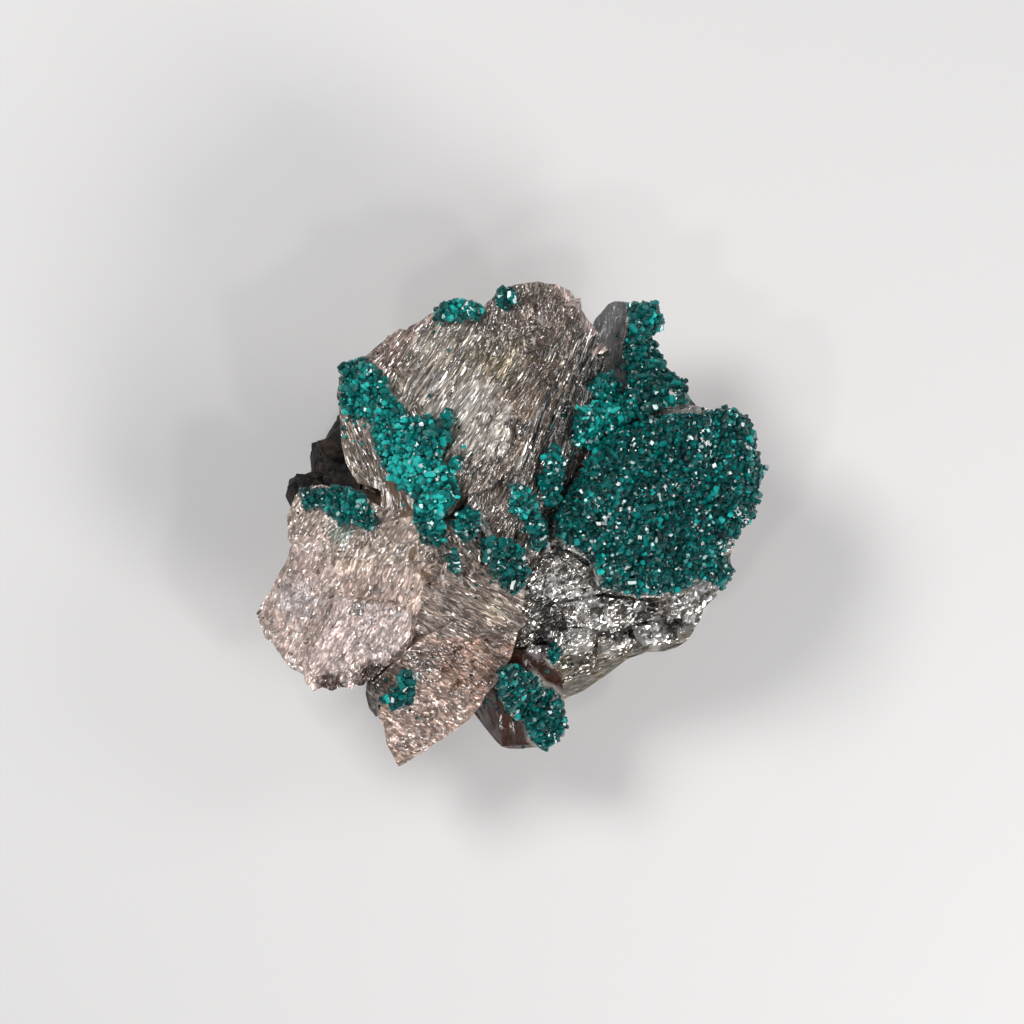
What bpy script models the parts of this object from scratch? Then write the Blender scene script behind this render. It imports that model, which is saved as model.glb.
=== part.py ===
"""A cerussite specimen: blades of cerussite that grew through each other from one centre, crusts of
small dioptase crystals on their faces, and a lump of dark matrix under their backs.

The specimen lies on its back. X runs across its face, Y up its face and Z out of it, towards the viewer.
The origin is the middle of its bounding box, on the surface that it rests on. All sizes are millimetres.
"""

import math
import random

import bmesh
import bpy
from mathutils import Matrix, Vector
from mathutils.bvhtree import BVHTree

MM = 0.001
# Points closer than this are one point.
TINY = 0.001
# A height above the whole specimen, from which the faces are probed.
SKY = 40.0
# The space left between two pieces that touch in the real specimen.
GAP = 0.3
# The backs of the blades draw in towards this point, seen from the front.
ROOT = (-0.5, 0.5)
# The lowest point of the cerussite, clear of the matrix below it.
BACK = 3.0

# Blades: the outline of the front face seen from the front, and three points of the plane that it lies on.
# edge is the height of the straight rim, body the depth of the part behind it, and taper how far that
# part draws in. stria is the direction of the growth ridges, with their spacing and their height.
# A flank is a second face of the same crystal, given by three points too.
BLADES = {
    "upper_left": dict(
        outline=[(-13.0, 15.1), (-11.4, 16.6), (-10.6, 17.3), (-9.8, 17.8), (-9.1, 17.6), (-8.9, 17.9),
                 (-7.7, 18.5), (-7.0, 19.0), (-6.0, 19.2), (-4.2, 19.4), (-2.2, 18.9), (-0.9, 11.3),
                 (0.2, 5.5), (-1.7, 3.5), (-4.4, 2.7), (-6.4, 3.2), (-8.8, 7.8), (-11.0, 11.3)],
        face=[(-0.7, 5.1, 24.8), (-2.7, 18.0, 21.2), (-12.5, 14.0, 19.5)],
        edge=2.5, body=8.0, taper=0.6, stria=58, spacing=1.0, height=0.45, seed=3,
        flanks=[[(-12.2, 14.3, 19.4), (-8.4, 17.4, 19.5), (-13.0, 16.4, 17.4)]],
    ),
    "crown": dict(
        outline=[(-2.9, 18.2), (-2.6, 18.8), (-1.9, 19.9), (-1.2, 20.5), (-0.7, 21.0), (0.6, 21.5),
                 (2.7, 21.8), (4.3, 21.5), (4.9, 21.4), (5.6, 21.2), (6.2, 20.0), (7.5, 18.2),
                 (8.6, 16.7), (9.4, 15.1), (10.5, 12.8), (9.6, 10.4), (7.3, 8.2), (6.0, 6.0),
                 (4.2, 2.4), (2.9, -1.2), (0.9, -2.2), (0.5, 2.4), (-0.5, 4.9), (-1.9, 11.3)],
        face=[(-2.7, 18.0, 21.3), (-0.7, 5.1, 24.9), (6.0, 17.6, 21.7)],
        edge=3.0, body=9.0, taper=0.6, stria=60, spacing=1.3, height=0.35, seed=5,
        flanks=[
            [(0.2, 5.1, 24.8), (6.0, 17.6, 21.6), (4.2, 4.5, 21.0)],
            [(4.2, 21.6, 20.4), (8.6, 15.0, 21.4), (6.4, 20.6, 18.8)],
        ],
    ),
    "left": dict(
        outline=[(-14.6, 14.6), (-15.0, 13.9), (-15.2, 13.1), (-15.3, 11.6), (-15.2, 10.3), (-15.0, 8.9),
                 (-14.9, 7.6), (-14.7, 6.3), (-14.4, 5.3), (-13.4, 3.9), (-11.6, 3.4), (-8.6, 1.2),
                 (-6.1, -0.3), (-4.4, 2.4), (-7.2, 6.9), (-9.4, 10.4), (-11.6, 13.6), (-13.0, 14.7)],
        face=[(-10.0, 10.0, 20.2), (-6.1, 2.4, 22.6), (-15.2, 8.0, 17.6)],
        edge=2.5, body=7.0, taper=0.66, stria=118, spacing=0.9, height=0.4, seed=7,
    ),
    "lower_left": dict(
        outline=[(-19.3, -1.6), (-19.7, -2.9), (-20.5, -4.2), (-21.2, -5.6), (-22.1, -6.9), (-22.5, -8.2),
                 (-22.1, -9.2), (-21.8, -9.9), (-21.1, -10.4), (-20.7, -11.2), (-20.0, -12.1),
                 (-19.4, -12.8), (-18.3, -13.3), (-18.2, -13.9), (-17.5, -14.8), (-16.7, -14.4),
                 (-15.8, -14.7), (-14.9, -14.3), (-14.0, -14.5), (-12.9, -13.6), (-12.2, -13.7),
                 (-11.1, -12.6), (-9.6, -11.6), (-8.6, -10.1), (-8.5, -8.2), (-7.4, -6.6), (-6.1, -5.6),
                 (-2.5, -3.8), (-2.5, -0.3), (-7.9, 1.1), (-15.9, -0.9)],
        face=[(-6.1, -2.9, 22.2), (-19.5, -2.3, 18.0), (-17.5, -14.8, 15.0)],
        edge=2.5, body=7.0, taper=0.6, stria=62, spacing=1.3, height=0.4, seed=9,
    ),
    "lower_left_plate": dict(
        outline=[(-15.3, -5.8), (-13.2, -6.5), (-9.6, -7.0), (-8.5, -7.8), (-8.7, -9.7), (-9.9, -11.1),
                 (-11.3, -12.0), (-12.8, -12.6), (-14.6, -12.9), (-17.3, -13.4), (-17.8, -12.3),
                 (-17.5, -11.1), (-15.7, -7.8)],
        face=[(-10.0, -7.5, 20.2), (-15.0, -6.5, 18.6), (-15.0, -12.5, 16.9)],
        edge=1.5, body=2.5, taper=0.95, stria=55, spacing=1.6, height=0.25, seed=10,
    ),
    "shoulder": dict(
        outline=[(-18.3, 3.4), (-19.0, 2.7), (-19.3, 1.9), (-19.7, 0.9), (-19.7, -0.1), (-19.6, -1.2),
                 (-19.2, -1.6), (-17.6, -2.0), (-15.9, -2.5), (-13.9, -2.6), (-11.9, -3.4),
                 (-7.0, -2.9), (-3.4, -1.6), (-4.4, 0.6), (-8.0, 1.4), (-11.0, 1.6), (-12.6, 2.6),
                 (-14.1, 3.5), (-15.3, 3.4), (-16.6, 3.8)],
        face=[(-7.9, -1.0, 22.1), (-18.5, 2.5, 18.4), (-11.9, -3.0, 20.9)],
        edge=2.5, body=6.0, taper=0.66, stria=52, spacing=1.1, height=0.35, seed=11,
    ),
    "lower_centre": dict(
        outline=[(-2.5, -1.2), (-7.0, -3.8), (-8.8, -6.5), (-9.0, -10.1), (-10.4, -12.2), (-8.6, -14.6),
                 (-7.0, -15.2), (-4.6, -14.9), (-2.5, -15.6), (-0.6, -13.6), (0.4, -11.4), (1.1, -8.3),
                 (1.7, -4.7), (0.2, -1.6)],
        face=[(-2.5, -1.2, 23.2), (-7.5, -6.0, 20.5), (-4.0, -14.0, 16.2)],
        edge=3.0, body=7.0, taper=0.7, stria=146, spacing=0.9, height=0.5, seed=13,
    ),
    "bottom": dict(
        outline=[(-12.2, -14.2), (-11.4, -16.0), (-11.5, -17.2), (-11.0, -18.1), (-10.9, -19.4),
                 (-10.3, -20.6), (-9.8, -21.7), (-9.0, -21.3), (-8.2, -20.8), (-6.0, -19.2),
                 (-3.5, -17.4), (-2.1, -15.5), (-1.2, -11.0), (-4.3, -8.3), (-7.9, -10.1),
                 (-10.6, -12.6)],
        face=[(-5.0, -14.0, 16.2), (-9.8, -21.7, 12.6), (-2.1, -15.5, 15.0)],
        edge=2.0, body=4.0, taper=0.72, stria=140, spacing=1.5, height=0.25, seed=15,
        flanks=[[(-9.0, -20.6, 13.3), (-3.4, -16.8, 14.9), (-6.0, -20.0, 11.8)]],
    ),
    "smoky": dict(
        outline=[(-4.6, -15.8), (-2.3, -12.7), (-0.7, -11.2), (2.9, -10.9), (4.8, -13.6), (5.1, -16.0),
                 (4.9, -17.9), (4.3, -19.2), (3.1, -20.0), (1.1, -20.3), (-0.1, -20.1), (-1.0, -19.6),
                 (-2.1, -18.6), (-3.2, -17.4)],
        face=[(0.0, -12.5, 15.0), (1.0, -19.5, 11.2), (4.9, -16.0, 12.4)],
        edge=3.5, body=3.5, taper=0.75, stria=95, spacing=3.5, height=0.1, seed=17,
        flanks=[
            [(-1.4, -13.5, 14.6), (-0.6, -19.4, 11.4), (-3.4, -16.6, 10.6)],
            [(-0.6, -19.6, 11.6), (3.6, -19.4, 11.0), (1.4, -20.8, 8.8)],
        ],
    ),
    "spur": dict(
        outline=[(-12.5, -13.2), (-12.8, -15.0), (-12.5, -16.3), (-11.9, -17.1), (-11.2, -17.0),
                 (-10.3, -15.4), (-9.6, -12.7)],
        face=[(-11.0, -13.5, 14.2), (-12.0, -16.8, 12.4), (-10.3, -15.4, 13.2)],
        edge=2.5, body=2.5, taper=0.85, stria=110, spacing=2.0, height=0.1, seed=19,
    ),
    "rear": dict(
        outline=[(7.4, 17.6), (7.8, 18.6), (8.4, 19.3), (9.0, 20.0), (9.6, 20.3), (10.9, 20.2),
                 (12.4, 20.0), (13.2, 19.5), (13.4, 18.5), (12.9, 17.2), (12.8, 16.2), (13.4, 15.2),
                 (13.7, 14.0), (15.4, 12.8), (16.0, 12.0), (17.1, 10.5), (15.4, 5.8), (10.0, 4.0),
                 (5.6, 6.6), (6.3, 14.0)],
        face=[(10.0, 10.0, 18.0), (9.5, 20.0, 14.4), (15.0, 14.0, 15.4)],
        edge=2.5, body=6.0, taper=0.66, stria=78, spacing=1.6, height=0.25, seed=21,
    ),
    "right": dict(
        outline=[(11.2, 10.8), (12.6, 10.3), (13.6, 10.5), (15.4, 10.4), (16.9, 10.7), (19.3, 10.0),
                 (20.4, 9.2), (20.9, 8.2), (21.1, 6.3), (21.5, 5.0), (21.2, 3.3), (20.9, 1.1),
                 (20.8, -0.1), (20.3, -1.2), (19.8, -2.6), (19.0, -3.6), (18.2, -4.7), (17.1, -4.9),
                 (15.4, -6.1), (11.8, -6.3), (8.5, -5.8), (7.6, -3.2), (5.2, -1.9), (4.0, -1.1),
                 (3.9, 1.2), (4.6, 3.0), (5.6, 4.6), (6.6, 5.6), (6.4, 7.2), (7.2, 9.6), (9.0, 10.8)],
        face=[(4.8, 1.2, 21.8), (12.3, 10.0, 20.6), (22.0, 5.0, 17.8)],
        edge=2.2, body=4.5, taper=0.7, stria=20, spacing=4.5, height=0.2, seed=23,
        flanks=[[(5.4, 0.6, 21.7), (13.1, 9.6, 20.4), (6.8, 7.4, 17.6)]],
    ),
    "lower_right": dict(
        outline=[(3.3, -2.2), (7.8, -2.9), (11.8, -3.6), (17.1, -3.5), (18.6, -3.7), (19.0, -4.9),
                 (18.2, -6.5), (17.6, -7.4), (17.2, -8.5), (16.3, -10.3), (15.3, -11.2), (14.2, -11.5),
                 (12.5, -11.4), (10.9, -12.0), (10.2, -12.5), (8.9, -13.9), (7.3, -15.4), (4.9, -16.6),
                 (3.3, -15.4), (1.1, -12.8), (0.2, -9.2), (0.6, -5.6)],
        face=[(3.3, -3.0, 20.6), (17.5, -5.5, 15.6), (5.5, -15.0, 11.4)],
        edge=3.5, body=5.0, taper=0.68, stria=28, spacing=1.2, height=0.6, seed=25,
        flanks=[[(4.9, -13.9, 12.4), (15.6, -9.9, 12.9), (9.0, -14.6, 8.6)]],
    ),
    "hub": dict(
        outline=[(-3.0, 6.6), (-1.0, 9.6), (1.2, 9.8), (2.4, 6.4), (2.9, 2.0), (2.2, -2.9), (-0.2, -5.4),
                 (-3.0, -3.2), (-3.6, 1.6)],
        face=[(0.2, 7.0, 24.7), (-3.2, 1.0, 23.7), (1.2, -4.0, 22.6)],
        edge=3.0, body=5.0, taper=0.9, stria=62, spacing=0.8, height=0.45, seed=27,
        flanks=[[(0.6, 8.6, 24.3), (0.4, -1.2, 23.1), (2.6, 3.0, 21.0)]],
    ),
    "bar": dict(
        outline=[(-2.9, 0.7), (-2.3, 1.0), (-0.9, -1.2), (-1.3, -1.7)],
        face=[(-2.6, 0.8, 24.4), (-1.2, -1.2, 24.0), (-1.6, 1.0, 24.7)],
        edge=1.6, body=1.0, taper=0.95, stria=120, spacing=3.0, height=0.05, seed=28,
    ),
    "small_facet": dict(
        outline=[(-11.3, 3.9), (-9.6, 4.2), (-7.9, 3.3), (-7.4, 1.3), (-9.6, 0.4), (-11.3, 1.2)],
        face=[(-8.2, 2.6, 21.0), (-11.0, 3.4, 20.0), (-9.8, 0.8, 20.8)],
        edge=1.5, body=2.0, taper=0.9, stria=100, spacing=3.0, height=0.1, seed=29,
    ),
}

# Sharp ribs of parallel growth on the steep flank of the crown: both ends seen from the front, and width.
RIBS = [
    ((0.3, 2.2), (2.1, 6.6), 0.5),
    ((1.0, 3.2), (3.3, 9.1), 0.6),
    ((1.7, 4.0), (3.7, 10.5), 0.7),
    ((2.2, 4.9), (4.4, 11.9), 0.5),
    ((2.9, 5.3), (5.2, 12.6), 0.7),
    ((3.5, 6.2), (5.8, 12.9), 0.5),
    ((4.3, 8.0), (6.5, 12.3), 0.6),
    ((3.7, 12.6), (6.1, 17.2), 0.7),
    ((4.7, 12.9), (6.9, 16.6), 0.5),
    ((5.9, 13.3), (8.0, 15.9), 0.6),
    ((2.6, 2.2), (3.7, 5.0), 0.5),
]

# Groups of small blocky crystals half sunk in the faces: middle of the group, its radius, how many there
# are, their least and greatest size, and seed.
BLOCKS = [
    ((3.4, 17.4), 3.4, 9, 0.9, 1.7, 101),
    ((7.6, 14.6), 1.6, 3, 0.8, 1.3, 102),
    ((-0.4, 8.6), 2.2, 4, 0.8, 1.4, 103),
    ((2.6, -0.6), 1.8, 4, 0.7, 1.3, 104),
    ((2.8, -8.4), 2.4, 7, 0.8, 1.5, 105),
    ((-3.4, -11.6), 2.8, 6, 0.9, 1.6, 106),
    ((-18.6, -7.0), 2.6, 6, 0.9, 1.6, 107),
    ((-14.6, -13.4), 1.8, 4, 0.7, 1.2, 108),
    ((-6.6, -4.2), 2.0, 4, 0.7, 1.3, 109),
    ((14.4, -7.4), 3.0, 5, 0.7, 1.3, 110),
    ((-9.6, 15.0), 2.2, 3, 0.8, 1.3, 111),
]

# Ledges on the stepped lower right face: outline, how far each stands out of that face, and how much
# flatter it lies, as a share of the slope of the face.
LEDGES = {
    "upper": ([(1.6, -4.6), (3.3, -2.9), (5.5, -2.4), (7.3, -3.8), (5.0, -6.3), (2.4, -6.6)], 0.5, 0.6, 44),
    "middle": ([(4.6, -6.9), (8.2, -6.3), (11.8, -6.7), (11.1, -8.5), (8.2, -9.2), (5.4, -8.8)],
               0.9, 0.4, 12),
    "middle_left": ([(4.4, -9.2), (7.3, -9.1), (8.0, -10.1), (7.3, -11.6), (4.9, -11.4)], 0.7, 0.3, 8),
    "middle_low": ([(8.1, -9.9), (10.0, -9.5), (11.6, -10.3), (10.4, -11.5), (8.0, -11.9)], 0.8, 0.35, 16),
    "right": ([(11.1, -9.0), (13.1, -8.5), (15.2, -9.2), (14.6, -10.5), (11.7, -10.7)], 0.8, 0.3, 12),
    "right_upper": ([(12.3, -6.8), (14.5, -6.2), (16.3, -6.7), (16.3, -8.3), (14.0, -8.0)], 0.7, 0.45, 20),
    "right_corner": ([(16.0, -4.9), (17.7, -4.1), (18.9, -5.1), (18.2, -6.6), (16.8, -8.0), (15.8, -6.5)],
                     0.6, 0.5, 62),
    "left_low": ([(0.9, -11.4), (2.0, -10.5), (3.7, -10.7), (3.8, -12.1), (2.2, -12.7)], 0.5, 0.5, 24),
    "low": ([(2.5, -12.5), (4.5, -12.0), (5.8, -12.8), (4.8, -14.3), (3.3, -14.2)], 0.5, 0.5, 40),
}

# How unevenly the growth ridges follow each other, as shares of their spacing.
FURROW_SPREAD = (0.4, 1.7)
# How far the crests of the ridges and the floors of the furrows vary, as shares of their height.
FLOORS = (0.0, 0.35)
CRESTS = (0.65, 1.0)
# How unevenly the back of a blade is broken, as shares of its depth.
BODY_SPREAD = (0.85, 1.15)
# The edge, the body and the ridges of a ledge.
LEDGE_SHAPE = dict(edge=1.4, body=2.2, taper=0.97, spacing=0.9, height=0.22)
LEDGE_SEED = 70

# Blades of the back tier, standing on edge: direction, reach, lowest and highest point, thickness, lean.
FINS = {
    "upper_left": (130, 15.0, 3.6, 17.0, 5.5, 8),
    "crown": (82, 16.5, 4.4, 18.0, 6.5, -10),
    "rear": (50, 17.0, 3.2, 13.0, 4.5, 6),
    "right": (6, 17.0, 4.4, 16.5, 6.0, -8),
    "lower_right": (320, 15.5, 3.0, 12.5, 5.5, 10),
    "smoky": (277, 15.0, 3.6, 11.5, 4.0, -6),
    "bottom": (242, 15.5, 3.2, 12.0, 4.5, 8),
    "lower_left": (208, 17.0, 3.8, 15.5, 6.5, -8),
    "left": (168, 13.0, 5.2, 16.0, 5.0, 10),
}
# How far the two broad sides of such a blade are bevelled, in and out, as shares of its thickness.
FIN_BEVEL = (0.25, 0.22)
# How thin a rib is at its far end, as a share of its width.
RIB_TIP = 0.5
# How deep the middle of a small blocky crystal lies, its proportions and how much of its corners is cut.
BLOCK_SUNK = 0.25
BLOCK_SHAPE = (1.5, 1.0, 1.0)
BLOCK_CORNER = 0.3
# The middle in which all blades meet: half sizes, height of its centre, roughness and seed.
CORE_SIZE = (8.5, 8.0, 8.5)
CORE_HEIGHT = 12.0
CORE_ROUGH = 0.14
CORE_SEED = 80

# Crusts of dioptase: outline seen from the front, and the least and greatest thickness.
CRUSTS = {
    "dioptase_right_face": (
        [(12.3, 9.4), (13.4, 9.8), (16.2, 9.9), (19.5, 10.4), (21.2, 9.6), (21.8, 8.5), (22.0, 6.4),
         (22.6, 5.1), (22.1, 3.3), (21.8, 0.9), (20.3, -0.5), (19.2, -1.6), (19.0, -2.7), (20.0, -3.8),
         (19.1, -5.2), (17.6, -4.6), (16.9, -4.2), (15.3, -5.6), (11.8, -5.9), (8.7, -5.4), (8.0, -2.8),
         (5.3, -1.2), (4.4, -0.5), (4.4, 1.2), (5.0, 2.6), (5.9, 3.7), (6.8, 4.8), (7.5, 6.5),
         (8.4, 7.6), (10.2, 8.8)],
        0.5, 1.4, 41),
    "dioptase_upper_right": (
        [(11.2, 20.0), (12.5, 20.0), (13.4, 19.5), (13.7, 18.3), (12.9, 17.1), (12.8, 16.2), (13.7, 15.1),
         (13.9, 14.2), (15.5, 13.1), (15.8, 12.1), (15.9, 11.2), (13.6, 10.8), (12.1, 9.9), (10.1, 9.2),
         (8.2, 8.0), (7.4, 7.1), (6.2, 7.4), (5.9, 8.9), (6.3, 10.3), (7.8, 10.9), (9.1, 11.3),
         (10.4, 11.8), (10.9, 13.1), (10.4, 15.4), (10.7, 17.6)],
        0.5, 1.6, 42),
    "dioptase_left_band": (
        [(-14.7, 14.5), (-12.8, 14.9), (-11.4, 13.8), (-10.7, 12.1), (-9.5, 10.6), (-8.6, 9.4),
         (-7.0, 9.9), (-6.1, 9.2), (-5.4, 10.3), (-4.9, 9.6), (-5.3, 7.8), (-6.1, 6.9), (-5.5, 5.1),
         (-4.6, 4.2), (-4.6, 2.5), (-5.7, 1.6), (-5.7, -0.1), (-6.2, -1.6), (-7.5, -1.2), (-8.2, 0.6),
         (-7.9, 2.4), (-9.3, 3.5), (-11.1, 5.5), (-11.6, 7.3), (-12.3, 9.6), (-14.6, 10.3),
         (-14.8, 12.2)],
        0.5, 1.4, 43),
    "dioptase_left_ledge": (
        [(-18.4, 3.3), (-16.6, 3.2), (-15.4, 3.6), (-13.9, 3.4), (-12.9, 2.8), (-12.3, 1.7),
         (-11.5, 0.6), (-12.1, 0.0), (-13.9, 0.4), (-15.4, 0.8), (-16.4, 1.9), (-18.1, 1.9)],
        0.5, 1.3, 44),
    "dioptase_top_edge": (
        [(-6.3, 18.6), (-5.9, 19.7), (-4.7, 20.1), (-3.4, 19.9), (-2.5, 19.5), (-2.5, 18.6),
         (-4.3, 18.4)],
        0.5, 1.2, 45),
    "dioptase_crown_corner": (
        [(-1.1, 19.9), (-0.8, 20.9), (0.3, 21.2), (0.7, 20.4), (-0.2, 19.3)], 0.4, 0.8, 46),
    "dioptase_rim": (
        [(7.3, 12.1), (8.0, 13.3), (9.3, 13.7), (10.0, 12.8), (9.4, 11.9), (8.2, 11.5)], 0.5, 1.2, 47),
    "dioptase_oval": (
        [(-2.3, -1.2), (-1.6, -1.0), (0.2, -1.2), (1.1, -2.2), (1.8, -3.7), (1.4, -4.9), (0.5, -5.8),
         (-0.7, -4.7), (-1.9, -2.6)],
        0.5, 1.2, 48),
    "dioptase_dot": (
        [(-4.2, 1.2), (-3.4, 1.7), (-2.5, 1.2), (-2.7, -0.4), (-3.6, -1.2), (-4.6, -0.3)], 0.5, 1.1, 49),
    "dioptase_middle": (
        [(0.4, 3.3), (1.2, 3.7), (2.1, 2.6), (2.7, 1.3), (3.3, -0.3), (3.3, -1.6), (2.3, -1.9),
         (2.0, -0.3), (0.9, 1.3), (0.2, 2.1)],
        0.5, 1.2, 50),
    "dioptase_sliver": (
        [(3.6, 6.7), (4.3, 7.1), (4.8, 6.0), (4.8, 4.2), (4.3, 2.2), (3.4, 1.9), (3.0, 3.8)],
        0.5, 1.1, 51),
    "dioptase_bottom": (
        [(-0.5, -12.8), (0.6, -12.3), (2.0, -13.1), (3.0, -14.4), (4.3, -15.0), (4.8, -16.3),
         (5.2, -17.8), (4.5, -19.2), (3.2, -20.0), (2.3, -19.2), (1.6, -17.4), (0.2, -16.3),
         (-0.7, -15.0)],
        0.5, 1.3, 52),
    "dioptase_lower_left": (
        [(-11.1, -15.3), (-10.0, -14.6), (-9.3, -12.9), (-8.6, -12.9), (-8.4, -14.6), (-8.6, -15.6),
         (-10.0, -16.0)],
        0.4, 0.9, 53),
    "dioptase_speck_lower": (
        [(-5.3, -2.6), (-4.7, -2.3), (-4.3, -3.0), (-4.5, -3.9), (-5.2, -3.7)], 0.4, 0.8, 54),
    "dioptase_speck_upper": (
        [(-4.9, 6.0), (-4.4, 6.1), (-4.2, 5.5), (-4.5, 5.0), (-5.0, 5.2)], 0.4, 0.8, 55),
    "dioptase_speck_right": (
        [(3.8, -10.9), (4.3, -10.7), (4.6, -11.4), (4.2, -12.0), (3.7, -11.8)], 0.4, 0.8, 56),
}
# The size of the cells that a crust is cut into, and how far their corners are moved, as a share of it.
CRUST_CELL = 1.1
CRUST_UNEVEN = 0.3
# How far a crust reaches down before what lies in the cerussite is cut away.
CRUST_DEPTH = 0.9
# A crust that reaches past an edge hangs at most this steeply over the drop.
CRUST_FALL = 1.1

# Lumps of matrix: centre, half sizes, turn about Z, and seed of the broken surface.
LUMPS = {
    "middle": ((-4.5, 1.0, 3.4), (9.5, 8.4, 6.2), 20, 61),
    "right": ((4.2, -0.4, 2.8), (7.2, 7.4, 5.4), -30, 62),
    "left": ((-13.2, 3.6, 6.6), (6.6, 6.2, 8.4), 12, 63),
    "left_upper": ((-13.4, 7.6, 9.8), (4.2, 4.0, 4.6), 40, 64),
    "left_outer": ((-17.3, 2.6, 9.6), (3.3, 2.7, 4.2), -20, 65),
    "low": ((-8.8, -5.0, 3.0), (6.4, 4.8, 5.2), 30, 66),
    "nub": ((-18.2, -1.2, 7.4), (3.0, 1.6, 3.0), 0, 67),
}
LUMP_ROUGH = 0.16

CERUSSITE = (0.62, 0.56, 0.51)
DIOPTASE = (0.0, 0.42, 0.38)
MATRIX = (0.08, 0.06, 0.05)


def clear_scene():
    for obj in list(bpy.data.objects):
        bpy.data.objects.remove(obj, do_unlink=True)


def new_collection(name):
    collection = bpy.data.collections.new(name)
    bpy.context.scene.collection.children.link(collection)
    return collection


def material(name, colour, roughness):
    made = bpy.data.materials.new(name)
    made.use_nodes = True
    shader = made.node_tree.nodes["Principled BSDF"]
    shader.inputs["Base Color"].default_value = (*colour, 1.0)
    shader.inputs["Roughness"].default_value = roughness
    return made


def link_solid(name, bm, collection):
    bmesh.ops.recalc_face_normals(bm, faces=bm.faces)
    for face in bm.faces:
        face.smooth = False
    mesh = bpy.data.meshes.new(name)
    bm.to_mesh(mesh)
    bm.free()
    obj = bpy.data.objects.new(name, mesh)
    collection.objects.link(obj)
    return obj


def largest_shell(bm):
    """Drops crumbs and sealed hollows, and keeps the shell that holds the most volume."""
    shells = []
    left = set(bm.faces)
    while left:
        shell = [left.pop()]
        for face in shell:
            for near in {f for e in face.edges for f in e.link_faces} & left:
                left.discard(near)
                shell.append(near)
        volume = sum(
            f.calc_center_median().dot(f.normal) * f.calc_area() for f in shell
        )
        shells.append((volume, shell))
    shells.sort(key=lambda item: item[0])
    for volume, shell in shells[:-1]:
        bmesh.ops.delete(bm, geom=shell, context="FACES")


def combined(name, base, others, operation, collection):
    """One solid out of base and the solids of a collection, with what lies in them removed."""
    step = base.modifiers.new("combined", "BOOLEAN")
    step.operation = operation
    step.operand_type = "COLLECTION"
    step.collection = others
    step.solver = "EXACT"
    graph = bpy.context.evaluated_depsgraph_get()
    mesh = bpy.data.meshes.new_from_object(base.evaluated_get(graph))
    bm = bmesh.new()
    bm.from_mesh(mesh)
    bpy.data.meshes.remove(mesh)
    bpy.data.objects.remove(base)
    bmesh.ops.remove_doubles(bm, verts=bm.verts, dist=TINY * MM)
    bmesh.ops.triangulate(bm, faces=bm.faces)
    bm.normal_update()
    largest_shell(bm)
    return link_solid(name, bm, collection)


# Flat outlines and the planes that they lie on

def face_plane(points):
    """A point and the outward normal of the plane through three points, the normal pointing up."""
    a, b, c = (Vector(p) * MM for p in points)
    normal = (b - a).cross(c - a).normalized()
    return a, normal if normal.z > 0 else -normal


def height_on(plane, x, y):
    point, normal = plane
    return point.z - (normal.x * (x - point.x) + normal.y * (y - point.y)) / normal.z


def outset(points, distance):
    """The outline moved outwards by distance, with its corners kept sharp."""
    around = sum(x0 * y1 - x1 * y0 for (x0, y0), (x1, y1) in zip(points, points[1:] + points[:1]))
    turn = 1.0 if around > 0 else -1.0
    moved = []
    for n, here in enumerate(points):
        here = Vector(here)
        before = (here - Vector(points[n - 1])).normalized()
        after = (Vector(points[(n + 1) % len(points)]) - here).normalized()
        out_before = Vector((before.y, -before.x)) * turn
        out_after = Vector((after.y, -after.x)) * turn
        reach = (out_before + out_after) / max(0.5, 1.0 + out_before.dot(out_after))
        moved.append(tuple(here + reach * distance))
    return moved


def slab(points, thickness):
    """A flat plate of this outline in the XY plane, from z = -thickness up to z = 0."""
    curve = bpy.data.curves.new("outline", "CURVE")
    curve.dimensions = "2D"
    curve.fill_mode = "BOTH"
    curve.extrude = thickness / 2
    spline = curve.splines.new("POLY")
    spline.points.add(len(points) - 1)
    for corner, (x, y) in zip(spline.points, points):
        corner.co = (x, y, 0.0, 1.0)
    spline.use_cyclic_u = True
    guide = bpy.data.objects.new("outline", curve)
    bpy.context.scene.collection.objects.link(guide)
    graph = bpy.context.evaluated_depsgraph_get()
    mesh = bpy.data.meshes.new_from_object(guide.evaluated_get(graph))
    bpy.data.objects.remove(guide)
    bm = bmesh.new()
    bm.from_mesh(mesh)
    bpy.data.meshes.remove(mesh)
    bmesh.ops.remove_doubles(bm, verts=bm.verts, dist=TINY * MM)
    bmesh.ops.dissolve_limit(bm, angle_limit=0.01, verts=bm.verts, edges=bm.edges)
    bmesh.ops.translate(bm, verts=bm.verts, vec=(0, 0, -thickness / 2))
    bmesh.ops.recalc_face_normals(bm, faces=bm.faces)
    return bm


def scored(bm, faces, normal, level):
    """Cuts faces along a plane, so that an edge runs where the plane crosses them."""
    parts = {e for f in faces for e in f.edges} | {v for f in faces for v in f.verts}
    bmesh.ops.bisect_plane(
        bm, geom=[*faces, *parts], plane_co=normal * level, plane_no=normal, dist=TINY * MM
    )


def faces_on(bm, plane):
    point, normal = plane
    near = [f for f in bm.faces if abs((f.calc_center_median() - point).dot(normal)) < 10 * TINY * MM]
    return [f for f in near if f.normal.dot(normal) > 0.9999]


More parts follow.
